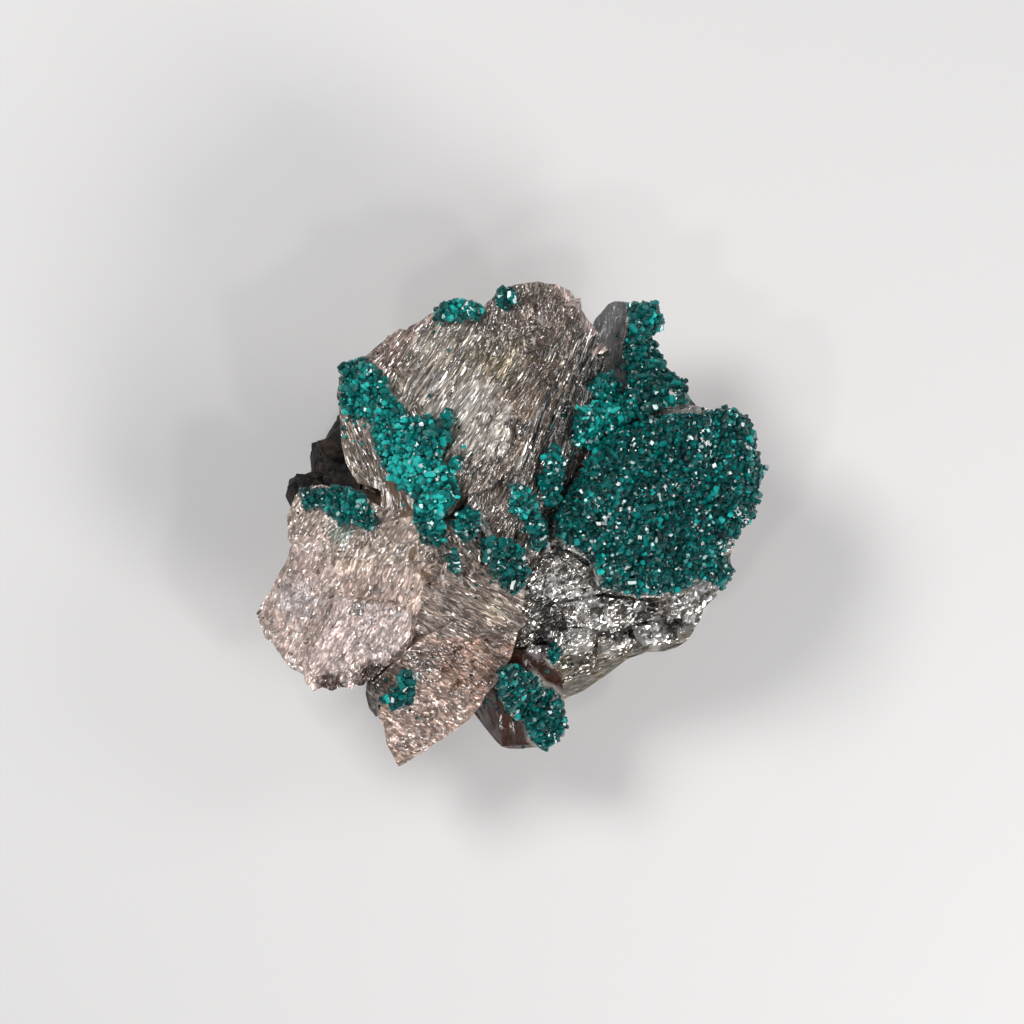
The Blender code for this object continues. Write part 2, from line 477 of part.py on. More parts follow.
def furrow(bm, plane, stria, spacing, height, seed):
    """Gives a flat face the ridges and furrows of parallel growth, which run along stria in plan."""
    point, normal = plane
    faces = faces_on(bm, plane)
    if not faces:
        return
    draw = random.Random(seed)
    turn = math.radians(stria)
    across = normal.cross(Vector((math.cos(turn), math.sin(turn), 0.0))).normalized()
    reach = [v.co.dot(across) for f in faces for v in f.verts]
    lines = [min(reach)]
    while lines[-1] < max(reach):
        lines.append(lines[-1] + spacing * draw.uniform(*FURROW_SPREAD) * MM)
    for line in lines[1:-1]:
        scored(bm, faces_on(bm, plane), across, line)
    crests = [draw.uniform(*(FLOORS if n % 2 else CRESTS)) for n in range(len(lines))]
    for vert in {v for f in faces_on(bm, plane) for v in f.verts}:
        t = vert.co.dot(across)
        below = [i for i in range(len(lines) - 1) if lines[i] <= t + 10 * TINY * MM] or [0]
        n = below[-1]
        share = min(1.0, max(0.0, (t - lines[n]) / (lines[n + 1] - lines[n])))
        level = crests[n] * (1 - share) + crests[n + 1] * share
        vert.co += normal * (level - 1.0) * height * MM


def cut_off(bm, plane):
    """Cuts away what lies in front of a plane and closes the cut with a flat face."""
    point, normal = plane
    geometry = bm.verts[:] + bm.edges[:] + bm.faces[:]
    cut = bmesh.ops.bisect_plane(
        bm, geom=geometry, plane_co=point, plane_no=normal, clear_outer=True, dist=TINY * MM
    )
    rim = [e for e in cut["geom_cut"] if isinstance(e, bmesh.types.BMEdge)]
    bmesh.ops.edgeloop_fill(bm, edges=rim)
    bmesh.ops.recalc_face_normals(bm, faces=bm.faces)


# Cerussite

def blade(
    name, collection, grow, outline, face, edge, body, taper, stria, spacing, height, seed, flanks=(),
):
    """One crystal. With grow, in millimetres, it comes out larger all round and without its ridges."""
    point, normal = face_plane(face)
    plane = (point + normal * grow * MM, normal)
    frame = Matrix.Translation(plane[0]) @ normal.to_track_quat("Z", "Y").to_matrix().to_4x4()
    inverse = frame.inverted()
    draw = random.Random(seed)

    def local(x, y):
        return inverse @ Vector((x * MM, y * MM, height_on(plane, x * MM, y * MM)))

    corners = [tuple(local(x, y).xy) for x, y in outline]
    bm = slab(outset(corners, grow * MM), (edge + 2 * grow) * MM)
    back = [f for f in bm.faces if f.normal.z < -0.99]
    moved = bmesh.ops.extrude_face_region(bm, geom=back)["geom"]
    bmesh.ops.delete(bm, geom=back, context="FACES_ONLY")
    root = local(*ROOT)
    for vert in moved:
        if isinstance(vert, bmesh.types.BMVert):
            vert.co.x = root.x + (vert.co.x - root.x) * taper
            vert.co.y = root.y + (vert.co.y - root.y) * taper
            vert.co.z -= body * draw.uniform(*BODY_SPREAD) * MM
    bmesh.ops.triangulate(bm, faces=[f for f in bm.faces if f.normal.z < 0.99])
    bmesh.ops.transform(bm, matrix=frame, verts=bm.verts)
    bmesh.ops.recalc_face_normals(bm, faces=bm.faces)
    if not grow:
        furrow(bm, plane, stria, spacing, height, seed)
    for flank in flanks:
        at, away = face_plane(flank)
        cut_off(bm, (at + away * grow * MM, away))
    return link_solid(name, bm, collection)


def rib(name, collection, grow, start, end, width):
    """A long square rod, half sunk in the steep flank of the crown with an edge upwards."""
    host = face_plane(BLADES["crown"]["flanks"][0])
    ends = [Vector((x * MM, y * MM, height_on(host, x * MM, y * MM))) for x, y in (start, end)]
    along = ends[1] - ends[0]
    thick = (width + 2 * grow) * MM
    bm = bmesh.new()
    bmesh.ops.create_cube(bm, size=1.0)
    bmesh.ops.scale(bm, vec=(along.length + 2 * grow * MM, thick, thick), verts=bm.verts)
    for vert in bm.verts:
        if vert.co.x > 0:
            vert.co.y *= RIB_TIP
            vert.co.z *= RIB_TIP
    bmesh.ops.rotate(bm, matrix=Matrix.Rotation(math.radians(45), 3, "X"), verts=bm.verts)
    side = host[1].cross(along.normalized())
    frame = Matrix((along.normalized(), side, host[1])).transposed()
    bmesh.ops.rotate(bm, matrix=frame, verts=bm.verts)
    bmesh.ops.translate(bm, vec=(ends[0] + ends[1]) / 2, verts=bm.verts)
    return link_solid(name, bm, collection)


def ledge(name, collection, grow, outline, rise, flat, stria, seed):
    """A small crystal that stands out of the stepped lower right face and lies flatter than it."""
    host = face_plane(BLADES["lower_right"]["face"])
    x = sum(p[0] for p in outline) / len(outline)
    y = sum(p[1] for p in outline) / len(outline)
    z = height_on(host, x * MM, y * MM) / MM + rise
    fall_x = -host[1].x / host[1].z * flat
    fall_y = -host[1].y / host[1].z * flat
    face = [(x, y, z), (x + 1, y, z + fall_x), (x, y + 1, z + fall_y)]
    return blade(name, collection, grow, outline, face, stria=stria, seed=seed, **LEDGE_SHAPE)


def ground_under(solid):
    bm = bmesh.new()
    bm.from_mesh(solid.data)
    ground = BVHTree.FromBMesh(bm)
    bm.free()
    return ground


def block_spots(ground):
    """Where the small blocky crystals sit on the blades, their sizes in millimetres and their turns."""
    spots = []
    for middle, radius, count, least, most, seed in BLOCKS:
        draw = random.Random(seed)
        for number in range(count):
            angle = draw.uniform(0.0, 2 * math.pi)
            far = radius * math.sqrt(draw.random())
            start = Vector((middle[0] + far * math.cos(angle), middle[1] + far * math.sin(angle), SKY))
            place, normal = ground.ray_cast(start * MM, Vector((0, 0, -1)))[:2]
            size = [draw.uniform(least, most) * share for share in BLOCK_SHAPE]
            turns = [draw.uniform(0.0, math.pi) for axis in "XYZ"]
            spots.append((place - normal * BLOCK_SUNK * MM, size, turns))
    return spots


def block(name, collection, grow, place, size, turns):
    """A small blocky crystal with a few of its corners cut off."""
    bm = bmesh.new()
    bmesh.ops.create_cube(bm, size=1.0)
    bmesh.ops.bevel(bm, geom=bm.verts[:][::3], offset=BLOCK_CORNER, affect="VERTICES")
    bmesh.ops.scale(bm, vec=[(side + 2 * grow) * MM for side in size], verts=bm.verts)
    for axis, turn in zip("XYZ", turns):
        bmesh.ops.rotate(bm, matrix=Matrix.Rotation(turn, 3, axis), verts=bm.verts)
    bmesh.ops.translate(bm, vec=place, verts=bm.verts)
    return link_solid(name, bm, collection)


def fin(name, collection, grow, azimuth, reach, low, high, thickness, lean):
    """A blade of the back tier, standing on edge along azimuth, from the core out to reach."""
    outline = [
        (-2.0, low + 1.5), (reach * 0.3, low), (reach * 0.62, low + 0.9), (reach * 0.84, low + 3.4),
        (reach, high - 3.6), (reach * 0.97, high), (-2.0, high),
    ]
    width = (thickness + 2 * grow) * MM
    bm = slab(outset([(r * MM, z * MM) for r, z in outline], grow * MM), width)
    bmesh.ops.translate(bm, verts=bm.verts, vec=(0, 0, width / 2))
    for side in [f for f in bm.faces if abs(f.normal.z) > 0.99]:
        bmesh.ops.inset_region(
            bm, faces=[side], thickness=width * FIN_BEVEL[0], depth=width * FIN_BEVEL[1]
        )
    upright = Matrix.Rotation(math.radians(90 + lean), 4, "X")
    turn = Matrix.Rotation(math.radians(azimuth), 4, "Z")
    place = Matrix.Translation(Vector((*ROOT, 0.0)) * MM)
    bmesh.ops.transform(bm, matrix=place @ turn @ upright, verts=bm.verts)
    lowest = min(v.co.z for v in bm.verts)
    bmesh.ops.translate(bm, verts=bm.verts, vec=(0, 0, max(0.0, (BACK - grow) * MM - lowest)))
    return link_solid(name, bm, collection)


def cluster(name, collection, grow, spots):
    """All crystals of cerussite joined in one solid."""
    parts = new_collection(f"{name} crystals")
    for key, shape in BLADES.items():
        blade(key, parts, grow, **shape)
    for number, (key, (outline, rise, flat, stria)) in enumerate(LEDGES.items()):
        ledge(key, parts, grow, outline, rise, flat, stria, LEDGE_SEED + number)
    for number, values in enumerate(RIBS):
        rib(f"rib {number}", parts, grow, *values)
    for number, values in enumerate(spots):
        block(f"block {number}", parts, grow, *values)
    for key, values in FINS.items():
        fin(key, parts, grow, *values)
    core = bmesh.new()
    bmesh.ops.create_icosphere(core, subdivisions=2, radius=1.0)
    draw = random.Random(CORE_SEED)
    for vert in core.verts:
        vert.co *= draw.uniform(1.0 - CORE_ROUGH, 1.0)
    bmesh.ops.scale(core, vec=[(s + grow) * MM for s in CORE_SIZE], verts=core.verts)
    bmesh.ops.translate(core, vec=Vector((*ROOT, CORE_HEIGHT)) * MM, verts=core.verts)
    base = link_solid("core", core, collection)
    solid = combined(name, base, parts, "UNION", collection)
    for part in list(parts.objects):
        bpy.data.objects.remove(part)
    bpy.data.collections.remove(parts)
    return solid


# Crusts and matrix

def gridded(outline, high, cell, seed):
    """An upright prism of this outline, from z = 0 up, whose ends are cut into uneven cells."""
    bm = slab([(x * MM, y * MM) for x, y in outline], high * MM)
    bmesh.ops.translate(bm, verts=bm.verts, vec=(0, 0, high * MM))
    xs = [x for x, y in outline]
    ys = [y for x, y in outline]
    for axis, first, last in ((0, min(xs), max(xs)), (1, min(ys), max(ys))):
        along = Vector((1, 0, 0)) if axis == 0 else Vector((0, 1, 0))
        count = max(1, round((last - first) / cell))
        for step in range(1, count):
            scored(bm, bm.faces[:], along, (first + (last - first) * step / count) * MM)
    bmesh.ops.remove_doubles(bm, verts=bm.verts, dist=0.08 * MM)
    draw = random.Random(seed)
    shifts = {}
    for vert in bm.verts:
        inside = all(abs(f.normal.z) > 0.9 for f in vert.link_faces)
        key = (round(vert.co.x / MM, 2), round(vert.co.y / MM, 2))
        if inside and key not in shifts:
            shifts[key] = [draw.uniform(-CRUST_UNEVEN, CRUST_UNEVEN) * cell * MM for axis in "XY"]
    for vert in bm.verts:
        key = (round(vert.co.x / MM, 2), round(vert.co.y / MM, 2))
        dx, dy = shifts.get(key, (0.0, 0.0))
        vert.co.x += dx
        vert.co.y += dy
    bmesh.ops.triangulate(bm, faces=bm.faces)
    bmesh.ops.recalc_face_normals(bm, faces=bm.faces)
    return bm


def crust(name, collection, ground, outline, least, most, seed):
    """A druse draped over the faces below it, as an uneven sheet with a peak in every cell."""
    bm = gridded(outline, SKY, CRUST_CELL, seed)
    draw = random.Random(seed + 1)
    ring = [2 * math.pi * n / 6 for n in range(6)]
    near = [(0, 0)] + [(CRUST_CELL / 2 * math.cos(a), CRUST_CELL / 2 * math.sin(a)) for a in ring]
    hits = {}
    for vert in bm.verts:
        found = []
        for dx, dy in near:
            start = Vector((vert.co.x + dx * MM, vert.co.y + dy * MM, SKY * MM))
            place = ground.ray_cast(start, Vector((0, 0, -1)))[0]
            if place is not None:
                found.append(place.z)
        hits[vert] = found
    upper = [v for v in bm.verts if v.co.z > SKY / 2 * MM]
    rim = {v for e in bm.edges if len({u in upper for u in e.verts}) == 2 for v in e.verts}
    floor = min(z for found in hits.values() for z in found)
    levels = {v: max(hits[v]) if hits[v] else floor for v in bm.verts}
    for vert in bm.verts:
        held = [levels[v] - CRUST_FALL * (v.co.xy - vert.co.xy).length for v in upper]
        level = max(levels[vert], *held)
        thickness = draw.uniform(least, least * 1.4 if vert in rim else most)
        if vert in upper:
            vert.co.z = level + thickness * MM
        else:
            vert.co.z = level - CRUST_DEPTH * MM
    return link_solid(name, bm, collection)


def lump(name, collection, centre, size, turn, seed):
    """A broken lump of matrix."""
    bm = bmesh.new()
    bmesh.ops.create_icosphere(bm, subdivisions=2, radius=1.0)
    draw = random.Random(seed)
    for vert in bm.verts:
        vert.co *= draw.uniform(1.0 - 2 * LUMP_ROUGH, 1.0)
    bmesh.ops.scale(bm, vec=[s * MM for s in size], verts=bm.verts)
    bmesh.ops.rotate(bm, matrix=Matrix.Rotation(math.radians(turn), 3, "Z"), verts=bm.verts)
    bmesh.ops.translate(bm, vec=Vector(centre) * MM, verts=bm.verts)
    if min(v.co.z for v in bm.verts) < 0:
        cut_off(bm, (Vector((0, 0, 0)), Vector((0, 0, -1))))
    return link_solid(name, bm, collection)


def centre(collection):
    """Moves all pieces together, so that the origin is the middle of the surface they rest on."""
    points = [v.co for piece in collection.objects for v in piece.data.vertices]
    low = [min(p[axis] for p in points) for axis in range(3)]
    high = [max(p[axis] for p in points) for axis in range(3)]
    middle = Vector(((low[0] + high[0]) / 2, (low[1] + high[1]) / 2, low[2]))
    for piece in collection.objects:
        piece.data.transform(Matrix.Translation(-middle))


def main():
    clear_scene()
    specimen = new_collection("cerussite specimen")
    cutters = new_collection("cutters")
    cutters.hide_render = True

    bare = cluster("bare cluster", cutters, 0.0, [])
    spots = block_spots(ground_under(bare))
    bpy.data.objects.remove(bare)
    cerussite = cluster("cerussite_cluster", specimen, 0.0, spots)
    cerussite.data.materials.append(material("cerussite", CERUSSITE, 0.2))
    grown = cluster("grown cluster", cutters, GAP, spots)
    ground = ground_under(grown)

    for name, (outline, least, most, seed) in CRUSTS.items():
        druse = crust("druse", specimen, ground, outline, least, most, seed)
        druse = combined(name, druse, cutters, "DIFFERENCE", specimen)
        druse.data.materials.append(material(name, DIOPTASE, 0.15))

    lumps = new_collection("lumps")
    for key, values in LUMPS.items():
        lump(key, lumps, *values)
    bed = lumps.objects["middle"]
    lumps.objects.unlink(bed)
    specimen.objects.link(bed)
    rock = combined("rock", bed, lumps, "UNION", specimen)
    for extra in list(lumps.objects):
        bpy.data.objects.remove(extra)
    bpy.data.collections.remove(lumps)
    rock = combined("matrix_rock", rock, cutters, "DIFFERENCE", specimen)
    rock.data.materials.append(material("matrix", MATRIX, 0.7))

    bpy.data.objects.remove(grown)
    bpy.data.collections.remove(cutters)
    centre(specimen)


main()
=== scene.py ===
import math
import random
from collections import namedtuple

import bmesh
import bpy
from mathutils import Matrix, Vector, noise
from mathutils.bvhtree import BVHTree


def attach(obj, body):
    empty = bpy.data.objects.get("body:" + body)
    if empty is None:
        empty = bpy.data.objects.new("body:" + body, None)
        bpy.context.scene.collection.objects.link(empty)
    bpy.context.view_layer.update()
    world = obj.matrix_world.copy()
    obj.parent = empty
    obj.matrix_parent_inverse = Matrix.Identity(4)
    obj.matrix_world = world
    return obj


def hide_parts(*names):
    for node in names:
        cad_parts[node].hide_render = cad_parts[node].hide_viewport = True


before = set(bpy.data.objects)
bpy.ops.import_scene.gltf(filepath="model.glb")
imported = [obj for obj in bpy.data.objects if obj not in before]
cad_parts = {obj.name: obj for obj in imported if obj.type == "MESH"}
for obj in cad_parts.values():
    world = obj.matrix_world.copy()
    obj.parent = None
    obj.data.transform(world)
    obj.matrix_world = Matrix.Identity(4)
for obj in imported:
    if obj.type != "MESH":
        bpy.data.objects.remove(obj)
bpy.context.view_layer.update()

# The cerussite blades
# Thick blades of lead carbonate that grew through each other from one centre: translucent, grey to
# pinkish, and ribbed along their growth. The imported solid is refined, and its faces are roughened.

MM = 0.001


class Wire:
    """An output of a node of a material. Arithmetic on it adds Math nodes to that material."""

    def __init__(self, tree, socket=None):
        self.tree = tree
        self.socket = socket

    def node(self, kind, settings=None, inputs=None, out=0):
        """Adds a node: its settings first, then the values or wires of its inputs."""
        made = self.tree.nodes.new("ShaderNode" + kind)
        for key, value in (settings or {}).items():
            if key == "stops":
                ramp = made.color_ramp
                while len(ramp.elements) < len(value):
                    ramp.elements.new(0.5)
                for stop, (place, colour) in zip(ramp.elements, value):
                    stop.position = place
                    stop.color = (*colour, 1.0)
            else:
                setattr(made, key, value)
        for key, value in (inputs or {}).items():
            if isinstance(value, Wire):
                self.tree.links.new(value.socket, made.inputs[key])
            else:
                made.inputs[key].default_value = value
        return Wire(self.tree, made.outputs[out])

    def output(self, number):
        """Another output of the same node."""
        return Wire(self.tree, self.socket.node.outputs[number])

    def sum(self, operation, first, second=0.0, clamp=False):
        return self.node("Math", {"operation": operation, "use_clamp": clamp}, {0: first, 1: second})

    def __add__(self, other):
        return self.sum("ADD", self, other)

    def __sub__(self, other):
        return self.sum("SUBTRACT", self, other)

    def __mul__(self, other):
        return self.sum("MULTIPLY", self, other)

    def __radd__(self, other):
        return self.sum("ADD", other, self)

    def __rsub__(self, other):
        return self.sum("SUBTRACT", other, self)

    def __rmul__(self, other):
        return self.sum("MULTIPLY", other, self)

    def clamped(self):
        return self.sum("ADD", self, 0.0, clamp=True)

    def vector(self, operation, first, second):
        return self.node("VectorMath", {"operation": operation}, {0: first, 1: second})

    def scaled(self, direction, length):
        return self.node("VectorMath", {"operation": "SCALE"}, {0: direction, "Scale": length})

    def mixed(self, share, first, second, blend="MIX"):
        """A colour between two colours."""
        settings = {"data_type": "RGBA", "blend_type": blend}
        return self.node("Mix", settings, {0: share, 6: first, 7: second}, out=2)


def new_finish(name, transmission, ior):
    """A material with one Principled shader, and a Wire to start from."""
    finish = bpy.data.materials.new(name)
    finish.use_nodes = True
    tree = finish.node_tree
    shader = tree.nodes["Principled BSDF"]
    shader.inputs["Transmission Weight"].default_value = transmission
    shader.inputs["IOR"].default_value = ior
    return finish, Wire(tree), shader


def plug(wire, shader, **inputs):
    for key, value in inputs.items():
        wire.tree.links.new(value.socket, shader.inputs[key.replace("_", " ")])


def placed(name, bm, finishes, node):
    """Makes a piece: one mesh, its finishes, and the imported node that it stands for."""
    mesh = bpy.data.meshes.new(name)
    bm.to_mesh(mesh)
    bm.free()
    piece = bpy.data.objects.new(name, mesh)
    bpy.context.scene.collection.objects.link(piece)
    for finish in finishes:
        mesh.materials.append(finish)
    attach(piece, "root")
    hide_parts(node)


SAME_PLACE = 0.001 * MM
SAME_PLANE = 0.01
LOOKS_UP = 0.15
MOST_CUTS = 8


def merged_solid(node):
    """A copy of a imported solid, whose mesh is loose triangles, with its corners joined."""
    bm = bmesh.new()
    bm.from_mesh(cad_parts[node].data)
    bmesh.ops.remove_doubles(bm, verts=bm.verts, dist=SAME_PLACE)
    return bm


def refined(node, fine, coarse):
    """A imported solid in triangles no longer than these, in mm, where it looks up and elsewhere."""
    bm = merged_solid(node)
    bmesh.ops.dissolve_limit(bm, angle_limit=SAME_PLANE, verts=bm.verts, edges=bm.edges)
    bmesh.ops.triangulate(bm, faces=bm.faces)
    for _ in range(MOST_CUTS):
        bm.normal_update()
        long = []
        for edge in bm.edges:
            up = max(f.normal.z for f in edge.link_faces)
            if edge.calc_length() > (fine if up > LOOKS_UP else coarse) * MM:
                long.append(edge)
        if not long:
            break
        bmesh.ops.subdivide_edges(bm, edges=long, cuts=1)
        bmesh.ops.triangulate(bm, faces=[f for f in bm.faces if len(f.verts) > 3])
    bm.normal_update()
    return bm


RIBBED, CLEAR, SMOOTH, SCALY = range(4)

# Each face of the cluster: its name, a point in it in mm, its outward direction, and the direction of
# its ribs in degrees as seen from the front. Then its colour, its laths (how many to a square
# millimetre, length and width in mm, disorder), how much of it is bright as silver, and its finish.
FACES = [
    ("upper_left", (-5.7, 12.4, 22.0), (-0.25, 0.22, 0.94), 58,
     (0.50, 0.42, 0.335), (1.4, 1.2, 0.15, 0.08), 0.12, RIBBED),
    ("upper_left_rim", (-11.3, 15.9, 18.8), (-0.45, 0.52, 0.73), 58,
     (0.48, 0.33, 0.27), (0.6, 1.2, 0.2, 0.10), 0.1, RIBBED),
    ("crown", (2.4, 11.0, 23.3), (-0.03, 0.26, 0.96), 60,
     (0.25, 0.165, 0.11), (1.5, 1.2, 0.15, 0.10), 0.15, RIBBED),
    ("crown_top", (3.0, 18.4, 21.3), (-0.03, 0.26, 0.96), 75,
     (0.21, 0.15, 0.115), (1.6, 0.6, 0.16, 0.5), 0.3, RIBBED),
    ("crown_flank", (3.4, 9.0, 22.5), (0.67, -0.13, 0.73), 65,
     (0.030, 0.020, 0.013), (4.0, 2.4, 0.14, 0.03), 0.6, RIBBED),
    ("crown_rim", (6.3, 19.0, 20.2), (0.64, 0.52, 0.56), 60,
     (0.75, 0.55, 0.48), (0.5, 1.0, 0.2, 0.2), 0.1, RIBBED),
    ("left", (-10.7, 7.0, 20.0), (-0.46, 0.04, 0.89), 118,
     (0.50, 0.39, 0.31), (1.0, 1.3, 0.17, 0.10), 0.1, RIBBED),
    ("lower_left_outer", (-17.6, -6.6, 17.4), (-0.30, -0.27, 0.92), 62,
     (0.84, 0.63, 0.55), (1.6, 0.5, 0.20, 0.9), 0.3, SCALY),
    ("lower_left", (-11.4, -5.4, 19.6), (-0.30, -0.27, 0.92), 62,
     (0.75, 0.56, 0.47), (1.5, 0.6, 0.18, 0.4), 0.15, SCALY),
    ("lower_left_plate", (-13.3, -9.8, 18.4), (-0.34, -0.26, 0.90), 55,
     (0.97, 0.76, 0.70), (1.5, 0.5, 0.20, 0.9), 0.15, SCALY),
    ("shoulder", (-12.5, -0.2, 20.5), (-0.31, 0.06, 0.95), 52,
     (0.52, 0.40, 0.325), (1.2, 0.6, 0.16, 0.6), 0.15, SCALY),
    ("lower_centre", (-4.0, -7.2, 19.9), (-0.01, -0.48, 0.88), 146,
     (0.46, 0.345, 0.28), (1.6, 1.0, 0.15, 0.2), 0.2, RIBBED),
    ("lower_centre_low", (-4.0, -12.6, 17.0), (-0.01, -0.48, 0.88), 146,
     (0.45, 0.26, 0.19), (1.2, 0.5, 0.16, 0.9), 0.2, SCALY),
    ("bottom", (-6.8, -14.7, 16.1), (0.11, -0.48, 0.87), 140,
     (0.44, 0.29, 0.225), (0.3, 0.5, 0.26, 0.5), 0.1, SCALY),
    ("bottom_rim", (-6.2, -19.2, 13.3), (0.40, -0.78, 0.48), 140,
     (0.60, 0.40, 0.32), (0.1, 0.5, 0.30, 0.2), 0.1, SCALY),
    ("smoky", (0.7, -15.7, 13.2), (0.14, -0.46, 0.88), 95,
     (0.04, 0.014, 0.008), (0.0, 1.0, 0.4, 0.0), 0.0, SMOOTH),
    ("smoky_left", (-1.9, -16.6, 12.2), (-0.62, -0.44, 0.65), 95,
     (0.04, 0.014, 0.008), (0.0, 1.0, 0.4, 0.0), 0.0, SMOOTH),
    ("smoky_low", (1.4, -20.0, 10.5), (0.11, -0.88, 0.46), 95,
     (0.04, 0.014, 0.008), (0.0, 1.0, 0.4, 0.0), 0.0, SMOOTH),
    ("spur", (-11.4, -14.8, 13.5), (-0.03, -0.47, 0.88), 110,
     (0.45, 0.40, 0.36), (0.4, 0.6, 0.2, 0.4), 0.1, SCALY),
    ("rear", (9.6, 15.4, 16.2), (0.20, 0.34, 0.92), 78,
     (0.75, 0.75, 0.75), (0.15, 1.0, 0.15, 0.1), 0.0, CLEAR),
    ("rear_low", (9.0, 8.0, 18.8), (0.20, 0.34, 0.92), 78,
     (0.12, 0.09, 0.07), (0.8, 1.0, 0.2, 0.3), 0.3, RIBBED),
    ("right", (13.0, 2.4, 19.8), (0.24, -0.07, 0.97), 20,
     (0.60, 0.54, 0.48), (0.3, 0.8, 0.2, 0.3), 0.3, RIBBED),
    ("right_rim", (8.3, 5.8, 19.9), (-0.49, 0.52, 0.70), 50,
     (0.09, 0.05, 0.03), (0.8, 0.8, 0.2, 0.5), 0.3, RIBBED),
    ("lower_right", (9.4, -6.6, 16.6), (0.18, -0.58, 0.80), 28,
     (0.10, 0.08, 0.06), (2.8, 1.1, 0.55, 0.9), 0.9, SCALY),
    ("lower_right_inner", (3.4, -7.6, 17.6), (0.18, -0.58, 0.80), 44,
     (0.08, 0.06, 0.045), (3.2, 0.5, 0.26, 0.9), 0.9, SCALY),
    ("lower_right_body", (6.6, -13.2, 12.6), (0.18, -0.58, 0.80), 28,
     (0.13, 0.095, 0.045), (0.0, 0.7, 0.3, 0.2), 0.5, SCALY),
    ("lower_right_edge", (9.7, -12.9, 11.3), (0.29, -0.84, 0.47), 28,
     (0.10, 0.068, 0.030), (0.0, 1.0, 0.4, 0.2), 0.2, SCALY),
    ("hub", (-0.4, 2.2, 23.8), (0.04, -0.18, 0.98), 62,
     (0.19, 0.14, 0.105), (2.0, 0.8, 0.16, 0.25), 0.2, RIBBED),
    ("hub_flank", (1.1, 3.4, 22.8), (0.77, -0.09, 0.63), 62,
     (0.10, 0.07, 0.05), (2.4, 1.0, 0.2, 0.2), 0.4, RIBBED),
    ("bar", (-2.0, -0.4, 24.2), (-0.21, -0.33, 0.92), 120,
     (0.38, 0.29, 0.235), (1.4, 0.7, 0.16, 0.4), 0.2, RIBBED),
    ("small_facet", (-9.6, 2.2, 20.6), (-0.29, 0.16, 0.94), 100,
     (0.20, 0.13, 0.085), (0.0, 0.8, 0.2, 0.0), 0.1, SMOOTH),
]
CENTRE = Vector((-0.6, 0.4, 12.0)) * MM

Lobe = namedtuple("Lobe", "name middle outward turn tint density length width disorder shine finish")
lobes = []
for name, point, outward, turn, tint, lath_sizes, shine, finish in FACES:
    plane = (Vector(point) * MM, Vector(outward).normalized(), math.radians(turn))
    lobes.append(Lobe(name, *plane, Vector(tint), *lath_sizes, shine, finish))

# What counts against a face of the cluster for a point: lying off its plane, far from its middle, or
# being turned another way.
OFF_PLANE, FAR_AWAY, TURNED_AWAY = 2.0, 0.4, 9.0


def lobe_of(place, normal):
    """The face of the cluster that a point belongs to."""

    def misfit(lobe):
        gap = place - lobe.middle
        off = abs(gap.dot(lobe.outward))
        turned = (1.0 - normal.dot(lobe.outward)) * TURNED_AWAY * MM
        return OFF_PLANE * off + FAR_AWAY * gap.length + turned

    return min(lobes, key=misfit)


FRONT = 0.35


def growth(normal, lobe):
    """The direction of the ribs on a face: as seen from the front on a front face, radial on a side."""
    flat = Vector((math.cos(lobe.turn), math.sin(lobe.turn), 0.0))
    wanted = flat if normal.z > FRONT else (lobe.middle - CENTRE).normalized()
    along = wanted - normal * wanted.dot(normal)
    if along.length < 0.2:
        along = normal.orthogonal()
    return along.normalized()


crusts = bmesh.new()
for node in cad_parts:
    if node.startswith("dioptase"):
        crusts.from_mesh(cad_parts[node].data)
crust_tree = BVHTree.FromBMesh(crusts)
crusts.free()

PALE_RIM = Vector((0.85, 0.78, 0.72))
PALE_RIM_WIDTH = 0.8
# Painted shade: the colour that faces turned sideways and down are darkened towards.
SHADED_SIDE_TINT = Vector((0.20, 0.155, 0.125))
